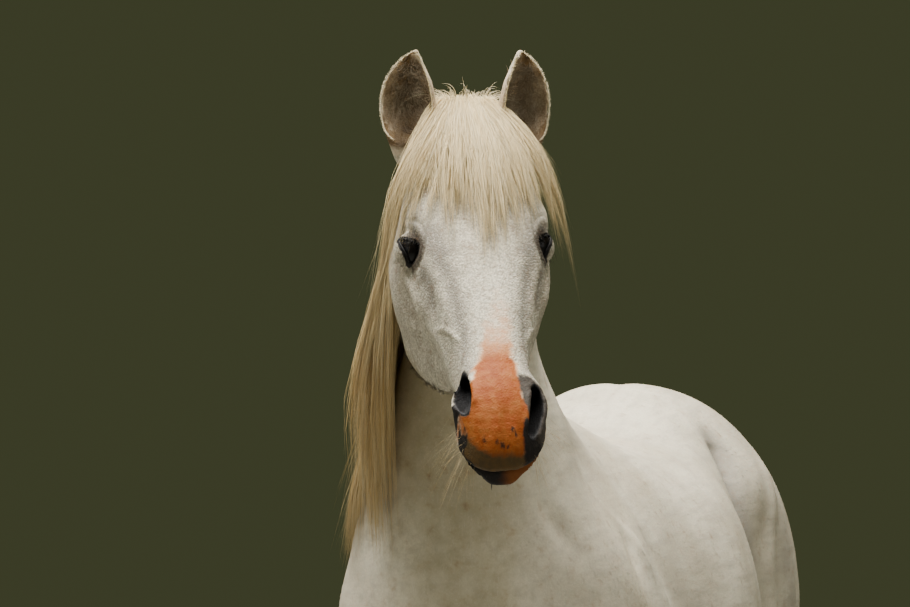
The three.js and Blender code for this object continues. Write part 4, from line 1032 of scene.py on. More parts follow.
# ---- eyes: dark balls between wet black lid rims ---------------------------------------------------------
# Each eye is a glossy ball with a brown iris, a level pupil and a clear front. It sits in its socket behind
# the lids, whose bare edges run round it as one rounded rim.
def eye_rim(side, count=40):
    ab = lid_ring(side, count, 0.4)
    sphere = EYE_RADIUS + 1.3
    out = np.sqrt(np.maximum(sphere**2 - (ab**2).sum(1), 4))
    middle = on_gaze(ab, out, side)
    centre = from_head(mirrored(EYE_AT[side], side))
    onward = unit(np.roll(middle, -1, 0) - np.roll(middle, 1, 0))
    away = unit(middle - centre)
    across = np.cross(onward, away)
    at_corner = bell((np.abs(ab[:, 0]) - LID_LENGTH / 2) / 4)
    thick = 1.5 - 0.4 * at_corner
    turn = np.arange(14) * 2 * np.pi / 14
    rings = middle[:, None] + thick[:, None, None] * (np.cos(turn)[:, None] * across[:, None]
                                                      + 0.95 * np.sin(turn)[:, None] * away[:, None])
    m, n = rings.shape[:2]
    r, k = np.meshgrid(np.arange(m), np.arange(n), indexing="ij")
    corner = lambda i, j: ((r + i) % m * n + (k + j) % n).ravel()
    quads = np.stack([corner(0, 0), corner(0, 1), corner(1, 1), corner(1, 0)], 1)
    return rings.reshape(-1, 3), quads.tolist()


def finished(thing, body="root", nodes=()):
    thing.data.shade_smooth()
    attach(thing, body)
    if nodes:
        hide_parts(*nodes)
    return thing


IRIS_DARK, IRIS_BROWN = lin(16, 12, 10), lin(28, 20, 15)
PUPIL, EYE_EDGE = lin(7, 6, 8), lin(22, 16, 13)
LID_BLACK, LID_GREY = lin(14, 12, 11), lin(34, 30, 27)
eye_ball, surface, shade = material("eye_ball", Specular_IOR_Level=0.2, Coat_Roughness=0.04,
                                    Coat_Weight=0.12, Roughness=0.35)
gaze = shade.node("Attribute", {"attribute_name": "gaze"}, output="Color")
level, height, depth = (shade.node("SeparateColor", values={0: gaze}, output=k) for k in range(3))
level, height = (level - 0.5) * 2, (height - 0.5) * 2
from_middle = (level * level + height * height) ** 0.5
pupil = ((level * level * 0.36 + height * height * 2.2) ** 0.5).step(0.2, 0.26)
streaks = shade.noise(gaze, 40.0, 3.0)
iris = streaks.step(0.3, 0.7).mixed(IRIS_DARK, IRIS_BROWN)
colour = pupil.mixed(PUPIL, iris)
colour = from_middle.step(0.66, 0.74).mixed(colour, EYE_EDGE)
feed(shade, surface, Base_Color=colour)

lid_rim, surface, shade = material("lid_rim", Specular_IOR_Level=0.25)
pores = shade.noise(shade.node("TexCoord", output="Object"), 700.0)
feed(shade, surface, Base_Color=pores.step(0.3, 0.7).mixed(LID_BLACK, LID_GREY),
     Roughness=0.78 - pores * 0.2)

for name, side in SIDES.items():
    points, faces = ball(EYE_AT[side], EYE_RADIUS, side, 96, 48)
    eye = outward(made("ball_" + name, [(points, faces)], eye_ball))
    away = mirrored(to_head(drawn(points_of(eye.data))), side) - EYE_AT[side]
    level = away @ np.cross(np.array([0, 0, 1.0]), EYE_LOOKS) / EYE_RADIUS
    height = away @ unit(np.array([0, 0, 1.0]) - EYE_LOOKS * EYE_LOOKS[2]) / EYE_RADIUS
    seen = np.column_stack([level, height, away @ EYE_LOOKS / EYE_RADIUS])
    layer = eye.data.attributes.new("gaze", "FLOAT_COLOR", "POINT")
    layer.data.foreach_set("color", np.column_stack([seen / 2 + 0.5,
                                                     np.ones(len(seen))]).astype(np.float32).ravel())
    finished(eye, nodes=["eye_" + name])
    finished(outward(made("lid_rim_" + name, [eye_rim(side)], lid_rim)))


# ---- hooves: horn walls with growth rings and a flat sole ------------------------------------------------
# Each hoof widens from the coronet to the ground. The horn grows down in fine uneven rings, and is a little
# paler under the hair of the coronet.
HOOF_ROWS = {  # z, y from where the leg stands, half width, reach forward, reach back
    "front": [[0, -74, 63, 76, 62], [3, -73.5, 63.4, 76.4, 62.4], [40, -66, 56, 64, 60],
              [76, -58.5, 48.5, 51, 57],
              [88, -56.5, 46.4, 48.4, 55.6], [93, -55, 42, 44, 52]],
    "hind": [[0, -84, 60, 74, 60], [3, -83.5, 60.4, 74.4, 60.4], [40, -76, 54, 62, 58],
             [76, -67.5, 47.5, 50, 55],
             [88, -65.5, 45.4, 47.4, 53.6], [93, -64, 41, 43, 50]],
}


def hoof(end, side):
    z = np.concatenate([[0, 1, 3], np.linspace(5, 88, 56), [90, 92]])
    rows = np.array(HOOF_ROWS[end])
    y, half, front, back = (np.interp(z, rows[:, 0], rows[:, k]) for k in range(1, 5))
    grown = 0.5 * np.sin(z / 1.9 + 1.3 * np.sin(z / 9)) + 0.6 * np.sin(z / 6.1) + 2.0 * bell((z - 87) / 5)
    grown *= smooth(z, 3, 9) * smooth(-z, -92, -88)
    x, v = oval(72, half + grown, back + grown, front + grown, np.full_like(z, 2.1), np.full_like(z, 2.15))
    heel = smooth(v / back[:, None], 0.72, 1.0) * (1 - np.abs(x) / half[:, None])
    v = v - 7 * heel * smooth(z, 10, 60)[:, None]
    return loft(np.stack([side * HOOF_SPREAD[end] + x, LEG_STANDS[end] + y[:, None] + v,
                          np.broadcast_to(z[:, None], x.shape)], -1))


HORN_DARK, HORN_PALE, HORN_AT_CORONET = lin(92, 82, 70), lin(138, 124, 104), lin(168, 152, 128)
WORN_DARK, WORN_PALE = lin(78, 68, 56), lin(120, 104, 84)
horn, surface, shade = material("horn", Specular_IOR_Level=0.4)
at = shade.node("TexCoord", output="Object")
grain = shade.stretched(at, (260.0, 260.0, 9.0), detail=3.0)
ring = shade.stretched(at, (4.0, 4.0, 330.0), detail=2.0)
colour = (grain * 0.6 + ring * 0.5).step(0.3, 0.8).mixed(HORN_DARK, HORN_PALE)
height = shade.node("SeparateXYZ", values={0: at}, output="Z")
colour = height.step(0.07, 0.092).mixed(colour, HORN_AT_CORONET)
colour = (1 - height.step(0.002, 0.03)).mixed(colour, (grain * 0.8).mixed(WORN_DARK, WORN_PALE))
bumped = shade.node("Bump", values={"Strength": 0.5, "Distance": 0.0006, "Height": grain * 0.5 + ring})
feed(shade, surface, Base_Color=colour, Normal=bumped, Roughness=0.62 - grain * 0.2)

for end in LEGS:
    for name, side in SIDES.items():
        finished(outward(made(f"horn_{end}_{name}", [hoof(end, side)], horn)),
                 nodes=[f"hoof_{end}_{name}"])


# ---- long hair: how one sheaf of hairs is made -----------------------------------------------------------
# Mane, forelock and tail are many thin, flat hairs that taper to a point. They grow in clumps, which hang
# together towards their tips, with a few that stray.
draw = np.random.default_rng(20).uniform
vary = np.random.default_rng(21).normal


def lerp(a, b, t):
    return a + (b - a) * t


def unwrapped(points):
    """The place of each point on an unwrap of the body, 0 to 1: heads, trunk and legs lie side by side."""
    local = to_head(points)
    on_head = (local[:, 1] > -30) & (points[:, 2] > 1380) & (points[:, 1] < -800)
    legs = points[:, 2] < 820
    around = np.arctan2(local[:, 0], local[:, 2] + 110) / (2 * np.pi) + 0.5
    uv = np.column_stack([0.02 + 0.34 * around, 0.62 + 0.36 * np.clip((local[:, 1] + 60) / 680, 0, 1)])
    middle = np.interp(points[:, 1], [-800, -400, 800], [1700, 1200, 1150])
    around = np.arctan2(points[:, 0], points[:, 2] - middle) / (2 * np.pi) + 0.5
    trunk = np.column_stack([0.4 + 0.58 * np.clip((points[:, 1] + 1000) / 2000, 0, 1), 0.3 + 0.68 * around])
    quarter = (points[:, 0] > 0) * 1 + (points[:, 1] > 0) * 2
    leg_y = np.where(points[:, 1] > 0, 660, -540)
    around = np.arctan2(np.abs(points[:, 0]) - 133, points[:, 1] - leg_y) / (2 * np.pi) + 0.5
    leg = np.column_stack([0.02 + 0.24 * (quarter + 0.9 * around),
                           0.02 + 0.24 * np.clip(points[:, 2] / 820, 0, 1)])
    uv[~on_head] = trunk[~on_head]
    uv[legs] = leg[legs]
    return uv


PATCH = 0.003


def sheaf(name, paths, width, thick, faces_out, tone, material, root=0.6, marks=False):
    """Closed tapering hairs along paths (hair, ring, xyz) in mm: flat, three-sided and pointed."""
    count, rings = paths.shape[:2]
    onward = unit(np.gradient(paths, axis=1))
    flat = unit(faces_out - onward * (faces_out * onward).sum(-1, keepdims=True))
    across = np.cross(onward, flat)
    s = np.linspace(0, 1, rings)
    taper = (root + (1 - root) * np.sin(np.pi * np.minimum(s * 1.1 + 0.02, 1) * 0.5)) * (1 - s**2.5)
    half = (np.asarray(width)[:, None] * taper / 2)[:, :-1, None]
    rise = (np.asarray(thick)[:, None] * np.maximum(taper, 0.1))[:, :-1, None]
    p, a, f = paths[:, :-1], across[:, :-1], flat[:, :-1]
    body = np.stack([p + a * half, p + f * rise, p - a * half], 2).reshape(count, -1, 3)
    points = np.concatenate([body, paths[:, -1:]], 1)
    each = points.shape[1]
    r, k = np.meshgrid(np.arange(rings - 2), np.arange(3), indexing="ij")
    low, next_low = (r * 3 + k).ravel(), (r * 3 + (k + 1) % 3).ravel()
    quads = np.stack([low, low + 3, next_low + 3, next_low], 1)
    last = (rings - 2) * 3
    ends = np.array([[0, 1, 2]] + [[last + k, each - 1, last + (k + 1) % 3] for k in range(3)])
    offset = np.arange(count) * each
    quads = (quads[None] + offset[:, None, None]).reshape(-1, 4)
    ends = (ends[None] + offset[:, None, None]).reshape(-1, 3)
    mesh = bpy.data.meshes.new(name)
    mesh.vertices.add(count * each)
    place_points(mesh, placed(points.reshape(-1, 3)))
    corners = np.concatenate([quads.ravel(), ends.ravel()])
    mesh.loops.add(len(corners))
    mesh.loops.foreach_set("vertex_index", corners.astype(np.int32))
    sizes = np.concatenate([np.full(len(quads), 4), np.full(len(ends), 3)])
    mesh.polygons.add(len(sizes))
    mesh.polygons.foreach_set("loop_start", np.concatenate([[0], np.cumsum(sizes)[:-1]]).astype(np.int32))
    mesh.update(calc_edges=True)
    share = np.append(np.repeat(s[:-1], 3), 1.0)
    colour = np.ones((count, each, 4), np.float32)
    colour[..., :2], colour[..., 2] = np.asarray(tone)[:, None, :], share
    mesh.attributes.new("tone", "FLOAT_COLOR", "POINT").data.foreach_set("color", colour.ravel())
    if marks:
        kept_marks(mesh, np.repeat(paths[:, 0], each, axis=0))
    at_root = np.clip(unwrapped(paths[:, 0]), PATCH, 1 - PATCH)
    place = np.column_stack([np.append(np.tile([0, 0.5, 1], rings - 1), 0.5), share]) - 0.5
    uv = (at_root[:, None] + PATCH * place[None]).reshape(-1, 2)
    mesh.uv_layers.new(name="OFBake").data.foreach_set("uv", uv[corners].astype(np.float32).ravel())
    thing = bpy.data.objects.new(name, mesh)
    bpy.context.scene.collection.objects.link(thing)
    mesh.materials.append(material)
    mesh.shade_smooth()
    return thing


# Hair is paler the higher it hangs, above 1.5 m, towards this colour.
HIGH_HAIR_PALE = lin(255, 238, 190)


def hair_material(name, pale, straw, dark):
    made_of, surface, shade = material(name, Specular_IOR_Level=0.3)
    own, clump, share = shade.kept("tone")
    at = shade.node("TexCoord", output="Object")
    cloud = shade.noise(at, 14.0)
    colour = (own * 0.55 + clump * 0.45).step(0.1, 0.95).mixed(pale, straw)
    colour = ((cloud * 0.6 + share * 0.5).step(0.45, 0.95) * 0.5).mixed(colour, straw)
    colour = ((1 - own.step(0.0, 0.24)) * 0.7).mixed(colour, dark)
    height = shade.node("SeparateXYZ", values={0: at}, output="Z")
    colour = (height.step(1.5, 1.74) * 0.5).mixed(colour, HIGH_HAIR_PALE)
    feed(shade, surface, Base_Color=colour, Roughness=0.5 + own * 0.12)
    return made_of


long_hair = hair_material("long_hair", lin(255, 238, 194), lin(216, 180, 112), lin(120, 92, 52))
pale_hair = hair_material("pale_hair", lin(250, 242, 222), lin(222, 208, 176), lin(176, 158, 126))


def clumps(count, hairs, spread):
    """For each hair, the number of its clump and how far its root lies from the clump's, evenly shuffled."""
    of = np.arange(hairs) % count
    return of, vary(0, spread, hairs)


def shared(of, groups, **ranges):
    """One draw between two ends for each clump, handed on to its hairs."""
    return {key: draw(low, high, groups)[of][:, None] for key, (low, high) in ranges.items()}


def swing(of_clump, s, own, count):
    """How far hairs wave to the side along their length, with their clump and each by itself."""
    together = of_clump["sway"] * s * np.sin(2 * np.pi * (of_clump["bends"] * s + of_clump["phase"]))
    return together + vary(0, own, (count, 1)) * s


FEW = 1


def grown(name, hairs, narrowest, widest, flatness, hair, nodes=()):
    """Gives hairs their width and makes a piece of them."""
    paths, out, tone = hairs
    wide = draw(narrowest, widest, len(paths)) / FEW**0.5
    finished(sheaf(name, paths, wide, wide * flatness, out, tone, hair), nodes=nodes)


# ---- mane ------------------------------------------------------------------------------------------------
# It grows along the crest from the poll to the withers, lifts a little, falls over to the right side of the
# neck and hangs there as a curtain, longest at the middle of the neck.
CREST_ROWS = (19.75, 11.4)
MANE_TIPS = [[0, 1400], [0.25, 1300], [0.5, 1280], [0.75, 1325], [1, 1410]]
THROAT_SIDE = -72
hide_tree = BVHTree.FromPolygons(points_of(hide.data).tolist(),
                                 [tuple(f.vertices) for f in hide.data.polygons])
side_y, side_z = np.arange(-1020, -200, 20), np.arange(1200, 1920, 20)
right_sides = np.full((len(side_y), len(side_z)), float(THROAT_SIDE))
for i, y in enumerate(side_y):
    for k, z in enumerate(side_z):
        hit = hide_tree.ray_cast(Vector(placed([-900, y, z])), Vector((1, 0, 0)))[0]
        if hit:
            right_sides[i, k] = min(drawn(hit)[0], THROAT_SIDE)


def right_side(y, z):
    i = np.clip((y - side_y[0]) / 20, 0, len(side_y) - 1.001)
    k = np.clip((z - side_z[0]) / 20, 0, len(side_z) - 1.001)
    a, b = i.astype(int), k.astype(int)
    f, g = i - a, k - b
    return lerp(lerp(right_sides[a, b], right_sides[a + 1, b], f),
                lerp(right_sides[a, b + 1], right_sides[a + 1, b + 1], f), g)


def crest(t):
    ty, tz, by, bz, _, share, _, _ = along(TRUNK, lerp(*CREST_ROWS, np.clip(t, 0, 1)).ravel()).T
    top, low = np.column_stack([0 * ty, ty, tz]), np.column_stack([0 * ty, by, bz])
    return turned(top[:, None], lerp(low, top, share[:, None]))[:, 0].reshape(*t.shape, 3)


def mane_point(t, s, layer):
    t = np.clip(t, 0, 1)
    root = crest(t)
    tip = np.interp(t, *np.array(MANE_TIPS).T)
    y = root[..., 1] - 26 * s * (1 - 0.5 * t)
    z = root[..., 2] + 16 * bell((s - 0.06) / 0.06) - (root[..., 2] - tip) * s**1.1
    near = right_side(y, z) - 9
    beyond = np.maximum(-150, -102 - 0.2 * (y + 767))
    near = np.minimum(near, lerp(near, beyond, smooth(1640 - z, 0, 90)))
    far = np.minimum(near - 14, lerp(-92, -146, smooth(1750 - z, 0, 300)))
    hung = np.minimum(near - 16 * layer, lerp(near, far, layer)) + 10 * s**4
    return np.stack([lerp(root[..., 0], hung, smooth(s, 0, lerp(0.5, 0.2, smooth(t, 0, 0.3)))), y, z], -1)


def mane_hairs(count, groups, rings=7):
    of, aside = clumps(groups, count, 0.018)
    group_t = (np.arange(groups) + draw(0.1, 0.9, groups)) / groups
    g = shared(of, groups, layer=(0.05, 1), slant=(-0.03, 0.03), stretch=(0.78, 1.02),
               bends=(0.5, 1.3), phase=(0, 1), sway=(2, 9), tone=(0, 1))
    stray = (draw(0, 1, count) < 0.06)[:, None]
    s = np.linspace(0, 1, rings)[None] * np.clip(g["stretch"] * draw(0.72, 1.06, (count, 1)), 0, 1.04)
    held = smooth(s, 0.02, 0.9) * np.where(stray, 0.3, 0.82)
    t = group_t[of][:, None] + aside[:, None] * (1 - held) + g["slant"] * s
    layer = np.clip(g["layer"] + vary(0, 0.13, (count, 1)) * (1 - 0.6 * held), 0, 1.08)
    p = mane_point(t, s, layer)
    bend = swing(g, s, 2.2, count)
    bend += np.where(stray, vary(0, 13, (count, 1)) * s**1.5, 0)
    p[..., 1] += bend
    p[..., 0] -= 0.5 * np.abs(bend) * s + np.where(stray, np.abs(vary(0, 7, (count, 1))) * s, 0)
    out = np.broadcast_to(np.array([-0.8, -0.5, 0.35]) + vary(0, 0.35, (count, 1, 3)), p.shape)
    return p, out, np.column_stack([draw(0, 1, count), g["tone"][:, 0]])


MANE_PIECES, MANE_HAIRS, MANE_CLUMPS = 3, int(4000 * FEW), 170
for n in range(MANE_PIECES):
    grown(f"mane_{n}", mane_hairs(MANE_HAIRS, MANE_CLUMPS), 1.0, 1.9, 0.3, long_hair, ["mane"])


# ---- forelock --------------------------------------------------------------------------------------------
# It grows between the ears, fans out over the forehead to both sides of the eyes and lies on the bone. Short
# new hairs stand up at the poll.
FORELOCK_TIPS = [  # x, u and v of the tips, from the right side to the left
    [-138, 320, -190], [-137, 264, -146], [-84, 222, -28], [-38, 266, 2], [0, 298, 4], [34, 270, 3],
    [66, 226, -6],
    [100, 196, -52], [134, 230, -120],
]


def clear_of_skull(p, lift):
    """Points of the head pushed out of the skull, and off it by lift."""
    row = np.interp(p[..., 1], HEAD[:, 0], np.arange(len(HEAD)))
    _, top, low, half, share, upper, lower = np.moveaxis(along(HEAD, row.ravel()).reshape(*row.shape, 7),
                                                         -1, 0)
    middle = low + (top - low) * share
    above = p[..., 2] > middle
    reach, power = np.where(above, top - middle, middle - low), np.where(above, upper, lower)
    at = ((np.abs(p[..., 0]) / (half + 8)) ** power
          + (np.abs(p[..., 2] - middle) / reach) ** power) ** (1 / power)
    out = np.stack([p[..., 0], 0 * row, p[..., 2] - middle], -1)
    distance = np.linalg.norm(out, axis=-1)
    return p + unit(out) * (np.maximum(0, distance / at - distance) + lift)[..., None]


def bezier(a, b, c, s):
    s = s[..., None]
    return (1 - s) ** 2 * a + 2 * s * (1 - s) * b + s * s * c


def forelock_point(t, s, layer):
    tips = along(FORELOCK_TIPS, ((t + 1) / 2 * (len(FORELOCK_TIPS) - 1)).ravel()).reshape(*t.shape, 3)
    root = np.stack([34 * t, 0 * t - 6, 0 * t], -1)
    bend = np.stack([92 * t, 0 * t + 100, 0 * t + 26], -1)
    lift = 4 + 13 * layer * np.sin(np.pi * np.minimum(s * 0.75 + 0.1, 1))
    return clear_of_skull(bezier(root, bend, tips, s), lift)


def forelock_hairs(count, groups, rings=7):
    of, aside = clumps(groups, count, 0.07)
    group_t = np.linspace(-0.97, 0.97, groups) + vary(0, 0.01, groups)
    g = shared(of, groups, layer=(0.05, 1), slant=(-0.17, 0.17), stretch=(0.72, 1.06),
               bends=(0.4, 1.0), phase=(0, 1), sway=(1, 5), tone=(0, 1))
    stray = (draw(0, 1, count) < 0.07)[:, None]
    s = np.linspace(0, 1, rings)[None] * g["stretch"] * (0.36 + 0.68 * draw(0, 1, (count, 1)) ** 0.8)
    held = smooth(s, 0.05, 0.85) * np.where(stray, 0.35, 0.8)
    t = np.clip(group_t[of][:, None] + aside[:, None] * (1 - held) + g["slant"] * s, -1, 1)
    layer = np.clip(g["layer"] + vary(0, 0.15, (count, 1)), 0, 1.1) * smooth(-s, -1.05, -0.5)
    p = forelock_point(t, s, layer)
    p[..., 1:] += vary(0, 1, (count, 1, 2)) * [6, 2] * (1 - s[..., None]) ** 2
    p[..., 0] += swing(g, s, 1.6, count)
    p[..., 0] += np.where(stray, vary(0, 12, (count, 1)) * s**1.5, 0)
    p[..., 2] += np.where(stray, np.abs(vary(0, 5, (count, 1))) * s, 0)
    p = from_head(p)
    out = unit(p - from_head([0, 150, -110])) + vary(0, 0.25, (count, 1, 3))
    return p, out, np.column_stack([draw(0, 1, count), g["tone"][:, 0]])


def poll_hairs(count, groups=70, rings=7):
    """Long thin hairs that rise at the poll and arch over to both sides."""
    of = np.arange(count) % groups
    t = np.linspace(-1, 1, groups) + vary(0, 0.12, groups)
    rise, reach, fall = draw(4, 32, groups), draw(6, 64, groups), draw(-4, 34, groups)
    s = np.linspace(0, 1, rings)[None] * draw(0.4, 1.0, (count, 1))
    own = lambda spread: vary(0, spread, (count, 1))
    point = lambda x, u, v: np.stack(np.broadcast_arrays(x, u, v), -1)
    t, rise, reach, fall = (value[of][:, None] for value in (t, rise, reach, fall))
    root = point(27 * t + own(3), -8 + own(4), -2.0)
    bend = point(27 * t + own(3) + 0.35 * reach * t, -12 + own(4), rise * 1.5 + own(4))
    tip = point(27 * t + own(6) + reach * t, own(10), rise - fall + own(6))
    p = from_head(bezier(root, bend, tip, s))
    return p, np.broadcast_to(np.array([0, -1, 0.3]), p.shape), 0.2 + 0.25 * draw(0, 1, (count, 2))


FORELOCK_PIECES, FORELOCK_HAIRS, FORELOCK_CLUMPS, POLL_HAIRS = 2, int(3900 * FEW), 84, int(240 * FEW)
for n in range(FORELOCK_PIECES):
    grown(f"forelock_{n}", forelock_hairs(FORELOCK_HAIRS, FORELOCK_CLUMPS), 0.6, 1.15, 0.3, long_hair,
          ["forelock"])
grown("poll_hairs", poll_hairs(POLL_HAIRS), 0.35, 0.7, 0.4, pale_hair)


# ---- tail ------------------------------------------------------------------------------------------------
# A full brush of long hair that springs from all round the dock, stands off the rump a little and hangs to
# below the hocks. Its clumps narrow towards uneven tips.
TAIL = np.array([[1352, 754, 18, 16], [1343, 782, 24, 20], [1316, 808, 30, 26], [1240, 828, 38, 30],
                 [1100, 834, 52, 36],
                 [900, 832, 68, 44], [700, 830, 74, 48], [520, 828, 62, 42], [380, 828, 40, 28]])
TAIL_TIPS = 380


def tail_point(angle, start, s, layer):
    z = lerp(start, TAIL_TIPS + 130 * np.abs(np.sin(3 * angle + start)), s)
    row = np.interp(-z, -TAIL[:, 0], np.arange(len(TAIL)))
    _, y, half, depth = np.moveaxis(along(TAIL, row.ravel()).reshape(*row.shape, 4), -1, 0)
    reach = 0.45 + 0.55 * layer
    return np.stack([half * reach * np.sin(angle), y + depth * reach * np.cos(angle), z], -1)


def tail_hairs(count, groups, rings=7):
    of, aside = clumps(groups, count, 0.2)
    g = shared(of, groups, angle=(-np.pi, np.pi), start=(0, 1), layer=(0.1, 1), stretch=(0.8, 1.03),
               bends=(0.5, 1.4), phase=(0, 1), sway=(2, 10), tone=(0, 1))
    start = 1350 - 500 * g["start"] ** 1.6
    s = np.linspace(0, 1, rings)[None] * g["stretch"] * draw(0.7, 1.03, (count, 1))
    held = smooth(s, 0.0, 0.85) * 0.8
    angle = g["angle"] + aside[:, None] * (1 - held)
    layer = np.clip(g["layer"] + vary(0, 0.15, (count, 1)), 0, 1.05) * smooth(s, -0.12, 0.14)
    p = tail_point(angle, start + vary(0, 14, (count, 1)) * (1 - s), s, layer)
    p[..., 0] += swing(g, s, 3, count)
    out = np.stack([np.sin(angle), np.cos(angle), 0.2 + 0 * angle], -1) + vary(0, 0.3, (count, 1, 3))
    return p, out, np.column_stack([draw(0, 1, count), g["tone"][:, 0]])


TAIL_PIECES, TAIL_HAIRS, TAIL_CLUMPS = 2, int(3200 * FEW), 120
for n in range(TAIL_PIECES):
    grown(f"tail_{n}", tail_hairs(TAIL_HAIRS, TAIL_CLUMPS), 1.6, 2.8, 0.35, long_hair, ["tail"])


# ---- coat: short hair on the skin, whiskers, lashes and the hair of the ears -----------------------------
# Small flat tufts lie along the skin, shortest on the face, and longer under the belly and the jaw, behind
# the fetlocks and at the coronets. Stiff single hairs stand on muzzle, chin and lids.
TUFT_TIP = lin(240, 232, 214)
short_hair, surface, shade = material("short_hair", Specular_IOR_Level=0.16)
colour, *_ = coat_colour(shade)
own, _, share = shade.kept("tone")
colour = (own * share * 0.22).mixed(colour, TUFT_TIP)
feed(shade, surface, Base_Color=colour, Roughness=0.62 + own * 0.1)

hide.data.calc_loop_triangles()
triangles = np.empty(len(hide.data.loop_triangles) * 3, int)
hide.data.loop_triangles.foreach_get("vertices", triangles)
triangles = triangles.reshape(-1, 3)
corners = drawn(points_of(hide.data))[triangles]
faces_to = np.cross(corners[:, 1] - corners[:, 0], corners[:, 2] - corners[:, 0])
area = np.linalg.norm(faces_to, axis=1) / 2
faces_to, middles = unit(faces_to), corners.mean(1)
choose = np.random.default_rng(33)


def grown_on(count, weight):
    """Places on the skin, and how it faces there, as many as weight gives each triangle."""
    share = area * weight
    chosen = choose.choice(len(area), count, p=share / share.sum())
    r, q = np.sqrt(draw(0, 1, count)), draw(0, 1, count)
    parts = np.column_stack([1 - r, r * (1 - q), r * q])
    return (corners[chosen] * parts[..., None]).sum(1), faces_to[chosen]


def lies(p):
    """Which way the coat lies at each point."""
    local = to_head(p)
    on_head = (smooth(local[:, 1], -30, 30) * smooth(p[:, 2], 1330, 1420))[:, None]
    head_way = np.column_stack([0.5 * np.sign(local[:, 0]) * smooth(np.abs(local[:, 0]), 4, 40),
                                0.8 + 0 * p[:, 0], -0.35 + 0 * p[:, 0]]) @ HEAD_AXES
    low = smooth(-p[:, 2], -1000, -760)[:, None]
    neck = smooth(-p[:, 1], 420, 620)[:, None]
    body = lerp(np.array([0, 1, -0.45]), np.array([0, 0.35, -1.0]), neck)
    body = lerp(body, np.array([0, 0.1, -1.0]), low)
    return lerp(body, head_way, on_head)


def tufts(places, out, length, lift, astray=0.25, rings=3):
    """Paths of tufts that leave the skin at places and lie along it."""
    way = unit(lies(places)) + vary(0, astray, places.shape)
    way = unit(way - out * (way * out).sum(-1, keepdims=True))
    s = np.linspace(0, 1, rings)[None, :, None]
    length, lift = (np.broadcast_to(v, len(places))[:, None, None] for v in (length, lift))
    paths = (places[:, None] - 0.4 * out[:, None] + way[:, None] * s * length
             + out[:, None] * lift * np.sin(s * np.pi * 0.62))
    return paths, np.broadcast_to(out[:, None], paths.shape)


def coat_piece(name, paths, out, width, marks=True, made_of=short_hair, root=0.75):
    count = len(paths)
    sheaf_of = sheaf(name, paths, width * np.ones(count), 0.22 * width * np.ones(count), out,
                     draw(0, 1, (count, 2)), made_of, root, marks)
    if marks:
        each = (paths.shape[1] - 1) * 3 + 1
        sheaf_of.data.normals_split_custom_set_from_vertices(np.repeat(out[:, 0], each, axis=0).tolist())
    finished(sheaf_of)


local = to_head(middles)
on_head = smooth(local[:, 1], -30, 20) * smooth(middles[:, 2], 1360, 1430)
edge, _ = nostril_edge(local)
clear = (smooth(edge, 0, 4) * smooth(mouth_distance(local), 1, 5)
         * smooth(np.abs(seen_from_eye(local)[:, 2] - 12), 0, 1))
seen = markings(middles)
smooth_skin = 1 - 0.9 * np.maximum(seen["bare"], smooth(seen["snip"], 0.4, 0.9))
on_ear = (seen["cup"] > 0) * 1.0

# face and ears
FACE_TUFTS = int(16000 * FEW)
places, out = grown_on(FACE_TUFTS, on_head * clear * smooth_skin * (1 - 0.85 * on_ear))
short = smooth(to_head(places)[:, 1], 300, 520)
paths, out = tufts(places, out, draw(4.5, 8, FACE_TUFTS) * (1 - 0.45 * short), draw(0.15, 0.5, FACE_TUFTS))
coat_piece("face_tufts", paths, out, draw(0.5, 1.0, FACE_TUFTS) / FEW**0.5)

# neck, trunk and legs
BODY_TUFTS = int(15500 * FEW)
for n in range(2):
    places, out = grown_on(BODY_TUFTS, (1 - on_head) * smooth(middles[:, 2], 85, 100)
                           * (1 + 1.5 * smooth(-middles[:, 1], 300, 600)))
    longer = 1 + 0.9 * smooth(-places[:, 2], -900, -780) * smooth(places[:, 2], 700, 800)
    paths, out = tufts(places, out, draw(8, 16, BODY_TUFTS) * longer, draw(0.2, 0.8, BODY_TUFTS), 0.2)
    coat_piece(f"body_tufts_{n}", paths, out, draw(0.9, 1.8, BODY_TUFTS) / FEW**0.5)

# longer hair: along the jaw and under the throat, behind the fetlocks, at the coronets
x, u, v = local.T
jaw = smooth(u, 20, 80) * smooth(-u, -520, -380) * smooth(-faces_to @ HEAD_AXES[2], 0.25, 0.8) * on_head
y, z = middles[:, 1], middles[:, 2]
fetlock = smooth(-np.abs(z - 200), -60, -25) * smooth(faces_to[:, 1], 0.3, 0.8) * 4
coronet = smooth(-np.abs(z - 96), -12, -5) * 3
LONGER_TUFTS = int(3000 * FEW)
places, out = grown_on(LONGER_TUFTS, jaw * 3 + fetlock + coronet)
of_jaw = places[:, 2] > 1300
long = np.where(of_jaw, draw(7, 20, LONGER_TUFTS), np.where(places[:, 2] > 130, draw(16, 34, LONGER_TUFTS),
                                                            draw(8, 14, LONGER_TUFTS)))
paths, out = tufts(places, out, long, long * 0.28, 0.25, 5)
coat_piece("longer_tufts", paths, out, draw(0.6, 1.2, LONGER_TUFTS) / FEW**0.5)

